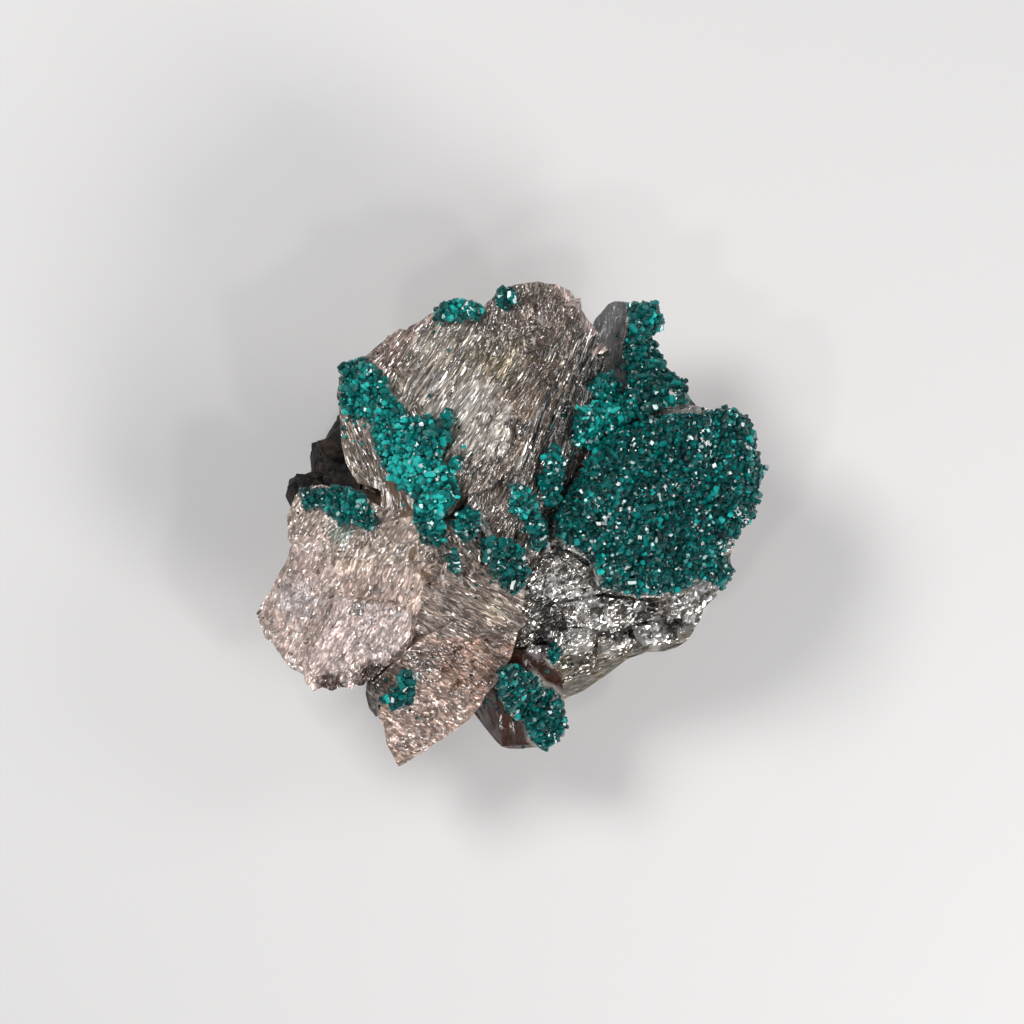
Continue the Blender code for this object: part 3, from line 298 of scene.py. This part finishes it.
# Places of another colour: x, y and reach in mm seen from the front, the colour and how strong it is.
# Some are stains, and some are painted light, as marked in the table.
STAINS_AND_PAINTED_LIGHT = [
    # Painted glints: the two pale spots on the upper left blade.
    (-2.8, 11.6, 1.3, (0.95, 0.90, 0.85), 0.7), (-6.5, 12.9, 1.1, (0.9, 0.85, 0.80), 0.6),
    (-0.9, 14.2, 3.4, (0.42, 0.35, 0.22), 0.5), (0.5, 10.3, 1.5, (0.24, 0.14, 0.08), 0.9),
    # Painted shade: the deep brown patch at 6.0, 4.9 fills the hollow right of the crown.
    (-18.8, -6.5, 2.2, (0.95, 0.88, 0.90), 0.5), (6.0, 4.9, 2.2, (0.07, 0.022, 0.012), 1.0),
    # Painted highlight: the broad pale patch at -3.5, 9.4 on the upper left blade.
    (-3.5, 9.4, 4.5, (0.92, 0.82, 0.71), 0.85), (-2.5, 0.6, 0.6, (0.95, 0.93, 0.90), 1.0),
    (-2.1, -0.1, 0.6, (0.95, 0.93, 0.90), 1.0), (-1.6, -0.9, 0.6, (0.95, 0.93, 0.90), 1.0),
    (-8.8, -13.6, 0.9, (0.65, 0.78, 0.82), 0.8), (-7.6, -11.8, 1.6, (0.16, 0.11, 0.09), 0.7),
    (-15.9, -14.2, 1.5, (0.08, 0.03, 0.02), 1.0), (-12.1, -13.4, 1.7, (0.09, 0.04, 0.025), 1.0),
    (-14.8, -0.7, 1.2, (0.20, 0.42, 0.38), 0.5), (-1.4, -7.1, 1.4, (0.75, 0.60, 0.40), 0.45),
    (-6.0, -11.5, 2.2, (0.12, 0.07, 0.05), 0.6), (-1.2, -10.8, 1.6, (0.12, 0.08, 0.06), 0.7),
    (5.8, 16.5, 1.8, (0.14, 0.10, 0.075), 0.7), (3.6, 13.6, 1.6, (0.14, 0.095, 0.06), 0.7),
    (20.2, 0.2, 1.2, (0.9, 0.9, 0.9), 0.8), (15.2, 10.4, 1.6, (0.85, 0.85, 0.83), 0.8),
    # Painted silver reflections: the pale grey patches on the broken mass at lower right, down to 4.3,
    # -5.7.
    (7.4, -7.3, 1.9, (0.70, 0.68, 0.65), 0.5), (12.7, -9.4, 1.9, (0.70, 0.68, 0.65), 0.55),
    (6.3, -10.3, 1.7, (0.70, 0.68, 0.65), 0.5), (9.0, -10.8, 1.0, (0.70, 0.68, 0.65), 0.4),
    (2.4, -11.2, 0.8, (0.50, 0.45, 0.46), 0.4), (17.5, -5.0, 1.6, (0.80, 0.78, 0.78), 0.7),
    (15.4, -7.6, 1.3, (0.70, 0.68, 0.65), 0.6), (4.3, -5.7, 1.3, (0.60, 0.56, 0.52), 0.5),
    # Painted shade: the near-black patches in the hollows of the broken mass.
    (3.3, -7.4, 1.5, (0.010, 0.008, 0.005), 1.0), (2.6, -9.8, 1.1, (0.010, 0.008, 0.005), 1.0),
    (12.2, -7.9, 1.4, (0.010, 0.008, 0.005), 1.0), (14.8, -9.0, 0.9, (0.010, 0.008, 0.005), 1.0),
    (8.6, -6.2, 1.0, (0.010, 0.008, 0.005), 1.0), (10.4, -9.6, 0.8, (0.010, 0.008, 0.005), 1.0),
    (4.6, -9.0, 0.9, (0.010, 0.008, 0.005), 1.0),
]
# A colour darker than this is painted shade in a hollow of the broken mass: it hardly shines and no
# crystal stands in it.
PAINTED_SHADE_LEVEL = 0.02


def tint_at(place, normal, lobe):
    """The colour of the cerussite at a point: paler beside a crust, with painted shade on faces turned
    away from above, and the colours of the stains table, some of which are painted light.
    """
    tint = lobe.tint.copy()
    if lobe.finish != CLEAR:
        # Painted shade: the further a face turns away from above, the more of the shaded colour it
        # takes.
        tint = tint.lerp(SHADED_SIDE_TINT, min(1.0, max(0.0, (0.45 - normal.z) * 2.0)))
    for x, y, reach, colour, share in STAINS_AND_PAINTED_LIGHT:
        ragged = 0.5 * noise.noise(place / MM * 1.3)
        far = (place.xy / MM - Vector((x, y))).length / reach + ragged
        if far < 1.0:
            tint = tint.lerp(Vector(colour), share * min(1.0, 2.5 - 2.5 * far))
    gap = crust_tree.find_nearest(place)[3] / MM
    if gap < PALE_RIM_WIDTH:
        tint = tint.lerp(PALE_RIM, 0.9 * (1.0 - gap / PALE_RIM_WIDTH))
    return tint


def crystal_layers(bm):
    """The layers that every crystal of cerussite carries on its faces for its finish."""
    return (
        bm.faces.layers.float_vector.new("along"),
        bm.faces.layers.float_color.new("tint"),
        bm.faces.layers.float.new("shine"),
        bm.loops.layers.uv.new("growth"),
    )


CELL_WIDTH, CELL_LENGTH = 0.2, 1.3
SIDE_SHINE, PAINTED_SHADE_SHINE = 0.15, 0.1

cluster = refined("cerussite_cluster", fine=0.34, coarse=1.2)
along_layer, tint_layer, shine_layer, growth_layer = crystal_layers(cluster)
lobe_faces = {}
front_faces = []
for face in cluster.faces:
    place = face.calc_center_median()
    normal = face.normal.copy()
    lobe = lobe_of(place, normal)
    lobe_faces[face] = lobe
    if normal.z > 0.05:
        front_faces.append((place, normal, face.calc_area(), lobe))
    along = growth(normal, lobe)
    across = normal.cross(along)
    for loop in face.loops:
        co = loop.vert.co / MM
        u = co.dot(across) * CELL_WIDTH / lobe.width
        v = co.dot(along) * CELL_LENGTH / lobe.length
        loop[growth_layer].uv = (u, v)
    tint = tint_at(place, normal, lobe)
    shine = lobe.shine if normal.z > 0.2 else SIDE_SHINE
    face[along_layer] = along
    face[tint_layer] = (*tint, 1.0)
    # Painted shade in a hollow hardly shines.
    face[shine_layer] = PAINTED_SHADE_SHINE if max(tint) < PAINTED_SHADE_LEVEL else shine
    face.material_index = lobe.finish
cluster_tree = BVHTree.FromBMesh(cluster)

# Ridges and furrows of parallel growth, and an uneven surface, as real relief. It fades out at the
# edges, where the faces round a corner spread.
RIB_HEIGHT, LUMP_HEIGHT = 0.16, 0.10
SHARP_EDGE = math.radians(24)

moves = {}
for vert in cluster.verts:
    faces = vert.link_faces
    normal = vert.normal
    spread = min(f.normal.dot(normal) for f in faces)
    along = Vector(faces[0][along_layer])
    across = normal.cross(along)
    density = min(1.0, 0.25 + lobe_faces[faces[0]].density / 2.0)
    u = vert.co.dot(across) / MM
    v = vert.co.dot(along) / MM
    ribs = noise.noise(Vector((u * 1.9, v * 0.22, 3.0)))
    ribs += 0.6 * noise.noise(Vector((u * 4.0, v * 0.5, 9.0)))
    lumps = noise.noise(vert.co / MM * 0.55)
    height = RIB_HEIGHT * ribs * density + LUMP_HEIGHT * lumps
    moves[vert] = normal * (height * max(0.0, min(1.0, (spread - 0.6) / 0.35))) * MM
for vert, move in moves.items():
    vert.co += move
cluster.normal_update()
for edge in cluster.edges:
    edge.smooth = len(edge.link_faces) == 2 and edge.calc_face_angle() < SHARP_EDGE
for face in cluster.faces:
    face.smooth = True

CERUSSITE_IOR = 2.07
SILVER_WHITE = (0.95, 0.90, 0.82, 1.0)


def cerussite_finish(name, transmission, lustre, tone, relief):
    """Striated crystal with an adamantine lustre: each small lath of growth leans its own way. Its
    colour has painted shade in the seams between laths and painted glints on a few bright laths.
    """
    finish, c, shader = new_finish(name, transmission, CERUSSITE_IOR)
    tint = c.node("Attribute", {"attribute_name": "tint"})
    along = c.node("Attribute", {"attribute_name": "along"}, out=1)
    shine = c.node("Attribute", {"attribute_name": "shine"}, out=2)
    spot = c.node("TexCoord", out=3)
    flat = c.node("NewGeometry", out=1)
    across = c.vector("CROSS_PRODUCT", flat, along)
    bend = c.node("TexNoise", inputs={"Vector": spot, "Scale": 300.0, "Detail": 1.0})
    place = c.node("UVMap", {"uv_map": "growth"})
    u = c.node("SeparateXYZ", inputs={0: place}, out=0) + bend * 0.45
    v = c.node("SeparateXYZ", inputs={0: place}, out=1)

    def leaned(normal, wide, tall, sideways, lengthways):
        """A normal that leans at random from lath to lath, a number for each lath, and its rim."""
        grain = c.node("CombineXYZ", inputs={0: u * wide, 1: v * tall, 2: 0.0})
        flatly = {"voronoi_dimensions": "2D"}
        to_rim = {"voronoi_dimensions": "2D", "feature": "DISTANCE_TO_EDGE"}
        lath = c.node("TexVoronoi", flatly, {"Vector": grain, "Scale": 1.0}, out=1)
        rim = c.node("TexVoronoi", to_rim, {"Vector": grain, "Scale": 1.0})
        red = c.node("SeparateColor", inputs={0: lath})
        green, blue = red.output(1), red.output(2)
        first = c.scaled(across, (red - 0.5) * sideways * relief)
        second = c.scaled(along, (green - 0.5) * lengthways * relief)
        total = c.vector("ADD", c.vector("ADD", normal, first), second)
        return c.node("VectorMath", {"operation": "NORMALIZE"}, {0: total}), blue, rim

    normal, share, seam = leaned(flat, wide=2.6, tall=0.55, sideways=0.5, lengthways=0.3)
    normal, fleck, rim = leaned(normal, wide=6.2, tall=1.0, sideways=1.1, lengthways=0.6)
    fine = c.node("CombineXYZ", inputs={0: u * 7.0, 1: v * 0.9, 2: 0.0})
    lines = c.node("TexNoise", inputs={"Vector": fine, "Scale": 1.0, "Detail": 2.0})
    height = share * 0.6 + fleck * 0.6 + (rim * 2.5).clamped() * 0.6 + lines * 0.5
    depth = {"Strength": 0.7 * relief, "Distance": 0.06 * MM}
    bump = c.node("Bump", inputs={**depth, "Height": height, "Normal": normal})
    mottle = c.node("TexNoise", inputs={"Vector": spot, "Scale": 380.0, "Detail": 5.0})
    # Painted shade in the seams between laths, and painted glints on the few brightest laths.
    painted_seam_shade = (0.5 + 0.5 * (rim * 9.0).clamped()) * (0.7 + 0.3 * (seam * 9.0).clamped())
    glints_seam_shade_and_tone = (0.55 + 0.8 * share) * (0.5 + 2.0 * fleck * fleck * fleck) * painted_seam_shade
    light = (0.1 + 1.6 * mottle) * (glints_seam_shade_and_tone * relief + (0.8 - 0.8 * relief)) * tone
    shade = c.node("CombineXYZ", inputs={0: light, 1: light, 2: light})
    colour = c.mixed(1.0, tint, shade, "MULTIPLY")
    bright = c.mixed(0.75, tint, SILVER_WHITE)
    silver = ((fleck - 0.55) * 6.0).clamped() * shine * lustre
    plug(
        c, shader, Base_Color=c.mixed(silver, colour, bright), Metallic=silver,
        Roughness=(0.05 + 0.25 * lines), Normal=bump,
    )
    return finish


ribbed = cerussite_finish("cerussite", transmission=0.5, lustre=1.0, tone=1.5, relief=1.0)
clear = cerussite_finish("cerussite_clear", transmission=0.85, lustre=0.0, tone=1.6, relief=0.45)
smooth = cerussite_finish("cerussite_smooth", transmission=0.2, lustre=0.3, tone=1.6, relief=0.2)
scaly = cerussite_finish("cerussite_scaly", transmission=0.4, lustre=1.0, tone=1.7, relief=0.85)
smooth.node_tree.nodes["Principled BSDF"].inputs["Specular IOR Level"].default_value = 0.2
finishes = [ribbed, clear, smooth, scaly]
placed("cerussite_blades", cluster, finishes, "cerussite_cluster")

# The laths of growth and the broken facets
# Thin rods of cerussite that lie side by side on the faces of the blades, along their growth, half sunk
# in them; a few carry a painted glint. On the broken mass at lower right they are wide, short and lie
# every way, most of them pale with a painted silver reflection.


def lath_form(ridge, slant):
    """A rod of unit length and width with a roof on it: where its ridge lies, how its ends slant."""
    bm = bmesh.new()
    bmesh.ops.create_cube(bm, size=1.0)
    top = []
    for edge in bm.edges:
        first, second = (v.co for v in edge.verts)
        if first.z > 0 and second.z > 0 and abs(first.x - second.x) < 0.1:
            top.append(edge)
    bmesh.ops.subdivide_edges(bm, edges=top, cuts=1)
    for vert in bm.verts:
        if vert.co.z > 0 and abs(vert.co.y) < 0.1:
            vert.co.y = ridge
            vert.co.x *= 1.0 - slant
        elif vert.co.z > 0:
            vert.co.z = 0.1
            vert.co.x *= 1.0 - slant * 0.4
    bmesh.ops.recalc_face_normals(bm, faces=bm.faces)
    mesh = bpy.data.meshes.new("lath form")
    bm.to_mesh(mesh)
    bm.free()
    return mesh


def add_forms(bm, places):
    """Adds one small crystal for each place: its form, where it goes, and the layers of its faces."""
    for form, matrix, values in places:
        verts_before, faces_before = len(bm.verts), len(bm.faces)
        bm.from_mesh(form)
        bm.verts.ensure_lookup_table()
        bm.faces.ensure_lookup_table()
        for vert in bm.verts[verts_before:]:
            vert.co = matrix @ vert.co
        for face in bm.faces[faces_before:]:
            for layer, value in values.items():
                face[layer] = value


lath_forms = [lath_form(0.0, 0.25), lath_form(0.25, 0.1), lath_form(-0.3, 0.5)]
FACES_OF_LATH = len(lath_forms[0].polygons)
LATHS_IN_ALL = 2.2
ROLL, PITCH, PITCH_OF_WIDE = 0.35, 0.07, 0.22
WIDE_LATH = 0.3
END_ABOVE_FACE = 0.10 * MM
# The colour of a lath with a painted glint.
GLINT = Vector((0.92, 0.84, 0.76))
# Painted silver reflection: most facets of the broken mass are pale silver, the others nearly black.
PAINTED_REFLECTION_FACET, FACET_DARK = Vector((0.95, 0.92, 0.90)), Vector((0.05, 0.04, 0.03))
SHARE_OF_PAINTED_REFLECTION = 0.78


def lath_place(place, normal, lobe):
    """Where one rod lies: its direction, and its matrix, or None where an end would leave the face."""
    along = growth(normal, lobe)
    roll = Matrix.Rotation(draw.gauss(0, ROLL), 3, along)
    tilt = draw.gauss(0, PITCH if lobe.width < WIDE_LATH else PITCH_OF_WIDE)
    pitch = Matrix.Rotation(tilt, 3, normal.cross(along))
    yaw = Matrix.Rotation(draw.gauss(0, lobe.disorder), 3, normal)
    turned = yaw @ pitch @ roll
    way, up = turned @ along, turned @ normal
    long = lobe.length * draw.uniform(0.5, 1.5)
    wide = lobe.width * draw.uniform(0.6, 1.6)
    for side in (-1, 1):
        end = cluster_tree.find_nearest(place + way * (long * 0.5 * side * MM))
        if end[3] > END_ABOVE_FACE or end[1].dot(normal) < 0.8:
            return way, None
    axes = Matrix((way, up.cross(way), up)).transposed()
    sized = axes @ Matrix.Diagonal((long * MM, wide * MM, wide * MM))
    sunk = place - normal * wide * draw.uniform(0.2, 0.42) * MM
    return way, Matrix.Translation(sunk) @ sized.to_4x4()


laths, facets = bmesh.new(), bmesh.new()
lath_layers, facet_layers = crystal_layers(laths), crystal_layers(facets)
draw = random.Random(31)
lath_places, facet_places = [], []
for place, normal, area, lobe in front_faces:
    broken = lobe.name.startswith("lower_right")
    patch = 0.9 if broken else 0.5 + noise.noise(place / MM * 0.45)
    wanted = area / MM**2 * LATHS_IN_ALL * lobe.density * patch * (1.0 if normal.z > 0.3 else 0.3)
    for _ in range(int(wanted) + (draw.random() < wanted % 1)):
        way, matrix = lath_place(place, normal, lobe)
        if matrix is None:
            continue
        tint = tint_at(place, normal, lobe)
        # No lath stands in the painted shade of a hollow.
        if max(tint) < PAINTED_SHADE_LEVEL:
            continue
        # Painted glints: a few laths are made far brighter, and some take the glint colour outright.
        colour = tint * (0.6 + 2.6 * draw.random() ** 4)
        if draw.random() < lobe.shine * 0.5:
            colour = GLINT
        colour = [min(1.0, part) for part in colour]
        form = draw.choice(lath_forms)
        if broken:
            # Painted silver reflection on most facets of the broken mass.
            bright = draw.random() < SHARE_OF_PAINTED_REFLECTION
            colour = PAINTED_REFLECTION_FACET * draw.uniform(0.7, 1.0) if bright else FACET_DARK
            layers = zip(facet_layers, (way, (*colour, 1.0), float(bright)))
            facet_places.append((form, matrix, dict(layers)))
        else:
            layers = zip(lath_layers, (way, (*colour, 1.0), lobe.shine))
            lath_places.append((form, matrix, dict(layers)))

# Each lath keeps one place in the pattern of its finish; the facets have the pattern laid across them.
add_forms(laths, lath_places)
growth_layer = lath_layers[3]
for face in laths.faces:
    chance = (face.index // FACES_OF_LATH) * 0.618
    for loop in face.loops:
        loop[growth_layer].uv = (chance * 7.0, chance * 3.0)
placed("cerussite_laths", laths, [ribbed], "cerussite_cluster")

add_forms(facets, facet_places)
growth_layer = facet_layers[3]
for face in facets.faces:
    for loop in face.loops:
        loop[growth_layer].uv = (loop.vert.co.x / MM * 0.6, loop.vert.co.y / MM * 1.8)
crinkled = cerussite_finish("cerussite_facet", transmission=0.1, lustre=0.8, tone=1.7, relief=0.9)
placed("cerussite_facets", facets, [crinkled], "cerussite_cluster")

# The druses of dioptase
# Crusts of small emerald-green copper silicate crystals, six-sided prisms with three-faced points,
# sitting at all angles on the cerussite. Three forms of crystal are repeated over each packed crust.

POINT_SLANT = math.radians(48)


def crystal_form(sides_long):
    """A six-sided prism of unit width, closed by the three faces of its point."""
    bm = bmesh.new()
    bmesh.ops.create_cone(
        bm, cap_ends=True, segments=6, radius1=0.5, radius2=0.5, depth=sides_long + 1.0,
        matrix=Matrix.Translation((0, 0, (sides_long + 1.0) / 2 - 0.6)),
    )
    for turn in (0, 120, 240):
        way = math.radians(turn + 30)
        aside = math.sin(POINT_SLANT)
        lean = Vector((aside * math.cos(way), aside * math.sin(way), math.cos(POINT_SLANT)))
        cut = bmesh.ops.bisect_plane(
            bm, geom=bm.verts[:] + bm.edges[:] + bm.faces[:], plane_co=(0, 0, sides_long + 0.2),
            plane_no=lean, clear_outer=True,
        )
        rim = [e for e in cut["geom_cut"] if isinstance(e, bmesh.types.BMEdge)]
        bmesh.ops.edgeloop_fill(bm, edges=rim)
    bmesh.ops.recalc_face_normals(bm, faces=bm.faces)
    mesh = bpy.data.meshes.new("crystal form")
    bm.to_mesh(mesh)
    bm.free()
    return mesh


PER_MM2 = 14.0
SMALLEST, LARGEST = 0.22, 0.64
SPREAD, UPRIGHT = 0.5, 0.3


def places_on(solid, draw):
    """Random places on the upper faces of a packed crust, with a direction and a size in mm for each."""
    places = []
    mesh = solid.data
    mesh.calc_loop_triangles()
    for triangle in mesh.loop_triangles:
        normal = triangle.normal
        if normal.z < -0.1:
            continue
        wanted = triangle.area / MM**2 * PER_MM2
        count = int(wanted) + (draw.random() < wanted % 1)
        a, b, c = (mesh.vertices[i].co for i in triangle.vertices)
        for _ in range(count):
            p, q = draw.random(), draw.random()
            if p + q > 1:
                p, q = 1 - p, 1 - q
            place = a + (b - a) * p + (c - a) * q
            aside = Vector([draw.gauss(0, SPREAD) for axis in "xyz"])
            way = aside + normal.lerp(Vector((0, 0, 1)), UPRIGHT)
            size = SMALLEST + (LARGEST - SMALLEST) * draw.random() ** 2.0
            places.append([place, way.normalized(), size])
    return places


crystal_forms = [crystal_form(0.3), crystal_form(0.55), crystal_form(0.9)]

dioptase, d, shader = new_finish("dioptase", transmission=0.3, ior=1.66)
shade = d.node("Attribute", {"attribute_name": "shade"}, out=2)
# The palest green, last in the ramp, is a painted sparkle.
GREENS = [
    (0.0, (0.0, 0.02, 0.02)), (0.37, (0.0, 0.085, 0.08)), (0.7, (0.0, 0.26, 0.24)),
    (0.92, (0.02, 0.75, 0.68)), (1.0, (0.65, 0.92, 0.88)),
]
colour = d.node("ValToRGB", {"stops": GREENS}, {0: shade})
spot = d.node("TexCoord", out=3)
grit = d.node("TexNoise", inputs={"Vector": spot, "Scale": 3000.0, "Detail": 2.0})
plug(d, shader, Base_Color=colour, Roughness=(0.04 + 0.25 * grit))

# Where the crystals are paler: x, y and reach in mm seen from the front, and how much paler.
BRIGHT_SPOTS = [
    (8.2, 9.6, 3.4, 0.40), (6.4, 6.2, 2.8, 0.35), (9.6, 11.6, 2.4, 0.30), (-9.2, 5.2, 1.8, 0.50),
    (-5.4, 1.2, 2.4, 0.40), (1.2, 2.4, 2.2, 0.30), (-4.6, 19.4, 2.6, 0.40), (12.4, 18.6, 2.0, 0.25),
    (-14.0, 2.2, 3.0, 0.20), (2.4, -18.6, 2.4, 0.15), (-12.0, 10.0, 6.0, 0.38),
    (-8.0, 5.0, 6.0, 0.48),
]
MEAN_SHADE, SHADE_SPREAD = 0.41, 0.23
# Painted sparkles: a small share of the smallest crystals take the palest green.
PAINTED_SPARKLE_SHARE, PAINTED_SPARKLE_BELOW = 0.04, 0.36
BED_SHADE = 0.25
BED_SINKS, UNDERSIDE_SINKS = 0.22 * MM, 0.45 * MM
STRAY_SIZE = 0.7

for number, node in enumerate(sorted(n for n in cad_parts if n.startswith("dioptase"))):
    draw = random.Random(900 + number)
    bed = merged_solid(node)
    bed.normal_update()
    layer = bed.faces.layers.float.new("shade")
    for vert in bed.verts:
        vert.co.z -= BED_SINKS if vert.normal.z > 0.0 else UNDERSIDE_SINKS
    for face in bed.faces:
        face[layer] = BED_SHADE
    # A fresh bmesh, because new crystals come last in it only where nothing was taken out before.
    bed_mesh = bpy.data.meshes.new("bed")
    bed.to_mesh(bed_mesh)
    bed.free()
    crust = bmesh.new()
    crust.from_mesh(bed_mesh)
    bpy.data.meshes.remove(bed_mesh)
    layer = crust.faces.layers.float["shade"]
    spots = places_on(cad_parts[node], draw)
    for place, way, size in spots[: len(spots) // 6]:
        aside = Vector((draw.gauss(0, 1.2), draw.gauss(0, 1.2), 5.0)) * MM
        hit, normal, index, far = cluster_tree.ray_cast(place + aside, Vector((0, 0, -1)))
        if hit is not None and far < 8 * MM:
            spots.append([hit, (normal + way * 0.4).normalized(), size * STRAY_SIZE])
    crystals = []
    for place, way, size in spots:
        shade = draw.gauss(MEAN_SHADE, SHADE_SPREAD)
        for x, y, reach, more in BRIGHT_SPOTS:
            far = (place.xy / MM - Vector((x, y))).length / reach
            shade += more * max(0.0, 1.0 - far)
        # A painted sparkle on a small crystal.
        painted_sparkle = size < PAINTED_SPARKLE_BELOW and draw.random() < PAINTED_SPARKLE_SHARE
        shade = 1.0 if painted_sparkle else min(0.92, max(0.0, shade * 0.92))
        turned = way.to_track_quat("Z", "Y").to_matrix()
        turned = turned @ Matrix.Rotation(draw.uniform(0, math.pi), 3, "Z")
        sunk = place - way * draw.uniform(0.3, 0.8) * size * MM
        matrix = Matrix.Translation(sunk) @ (turned * (size * MM)).to_4x4()
        crystals.append((draw.choice(crystal_forms), matrix, {layer: shade}))
    add_forms(crust, crystals)
    placed(node + "_druse", crust, [dioptase], node)

# The matrix
# Dark ore-bearing rock that the cluster grew on, broken off rough, with small glints in it.
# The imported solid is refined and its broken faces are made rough; the face it rests on stays flat.

ROUGHNESS = 0.3
RESTING_FACE, LOWEST = 0.05 * MM, 0.02 * MM

rock = refined("matrix_rock", fine=0.8, coarse=0.8)
for vert in rock.verts:
    if vert.co.z > RESTING_FACE:
        rough = noise.fractal(vert.co / MM * 0.9, 0.7, 2.1, 4)
        vert.co += vert.normal * rough * ROUGHNESS * MM
        vert.co.z = max(vert.co.z, LOWEST)
stone, s, shader = new_finish("matrix", transmission=0.0, ior=1.5)
spot = s.node("TexCoord", out=3)
patch = s.node("TexNoise", inputs={"Vector": spot, "Scale": 700.0, "Detail": 5.0})
BLACKS = [(0.3, (0.003, 0.003, 0.003)), (0.55, (0.010, 0.008, 0.007)), (0.75, (0.05, 0.03, 0.022))]
colour = s.node("ValToRGB", {"stops": BLACKS}, {0: patch})
height = s.node("TexNoise", inputs={"Vector": spot, "Scale": 1500.0, "Detail": 4.0})
bump = s.node("Bump", inputs={"Strength": 0.9, "Distance": 0.2 * MM, "Height": height})
plug(s, shader, Base_Color=colour, Roughness=(0.3 + 0.5 * patch), Normal=bump)
shader.inputs["Specular IOR Level"].default_value = 0.2
placed("matrix_broken", rock, [stone], "matrix_rock")

# The floor, the light and the camera
# A plain pale surface under the specimen, soft lamps round it, and a camera straight above.

floor_bm = bmesh.new()
bmesh.ops.create_grid(floor_bm, x_segments=1, y_segments=1, size=1.5)
floor_mesh = bpy.data.meshes.new("floor")
floor_bm.to_mesh(floor_mesh)
floor_bm.free()
floor = bpy.data.objects.new("floor", floor_mesh)
bpy.context.scene.collection.objects.link(floor)
floor_finish, f, shader = new_finish("floor", transmission=0.0, ior=1.45)
shader.inputs["Base Color"].default_value = (0.74, 0.73, 0.72, 1.0)
shader.inputs["Roughness"].default_value = 0.7
floor.data.materials.append(floor_finish)

# The studio is light round the horizon and darker overhead.
world = bpy.data.worlds.new("studio")
world.use_nodes = True
w = Wire(world.node_tree)
height = w.node("SeparateXYZ", inputs={0: w.node("TexCoord", out=0)}, out=2)
GREYS = [
    (0.0, (0.50, 0.50, 0.50)), (0.5, (0.50, 0.50, 0.50)),
    (0.62, (0.30, 0.30, 0.31)), (0.9, (0.10, 0.10, 0.11)),
]
grey = w.node("ValToRGB", {"stops": GREYS}, {0: height * 0.5 + 0.5})
w.tree.links.new(grey.socket, world.node_tree.nodes["Background"].inputs["Color"])
bpy.context.scene.world = world

# Each lamp: its height and its direction round the specimen in degrees, its distance and width in
# metres, and its power in watts.
LAMPS = [
    ("key", 52, 140, 0.30, 0.10, 0.52),
    ("fill", 35, 20, 0.35, 0.10, 0.20),
    ("low", 34, 318, 0.28, 0.10, 0.42),
    ("glint", 62, 230, 0.30, 0.025, 0.08),
    ("glint_right", 58, 330, 0.30, 0.025, 0.08),
]
FRONT_LEVEL = 16 * MM
for name, height, way, distance, width, power in LAMPS:
    lamp_data = bpy.data.lights.new(name, "AREA")
    lamp_data.size = width
    lamp_data.energy = power
    lamp = bpy.data.objects.new(name, lamp_data)
    a, e = math.radians(way), math.radians(height)
    back = Vector((math.cos(a) * math.cos(e), math.sin(a) * math.cos(e), math.sin(e)))
    lamp.location = Vector((0, 0, FRONT_LEVEL)) + back * distance
    lamp.rotation_euler = back.to_track_quat("Z", "Y").to_euler()
    lamp.visible_camera = False
    bpy.context.scene.collection.objects.link(lamp)

# The camera is half a metre above the front of the specimen, where the picture has 11.2 pixels to the
# millimetre.
SENSOR = 36.0
PICTURE_WIDTH = 1024 / 11.2
CAMERA_ABOVE = 500.0
camera_data = bpy.data.cameras.new("camera")
camera_data.sensor_width = SENSOR
camera_data.lens = SENSOR * CAMERA_ABOVE / PICTURE_WIDTH
camera_data.clip_start = 0.01
camera = bpy.data.objects.new("camera", camera_data)
camera.location = (0.272 * MM, 1.254 * MM, CAMERA_ABOVE * MM + FRONT_LEVEL)
bpy.context.scene.collection.objects.link(camera)
bpy.context.scene.camera = camera
bpy.context.scene.view_settings.view_transform = "Standard"
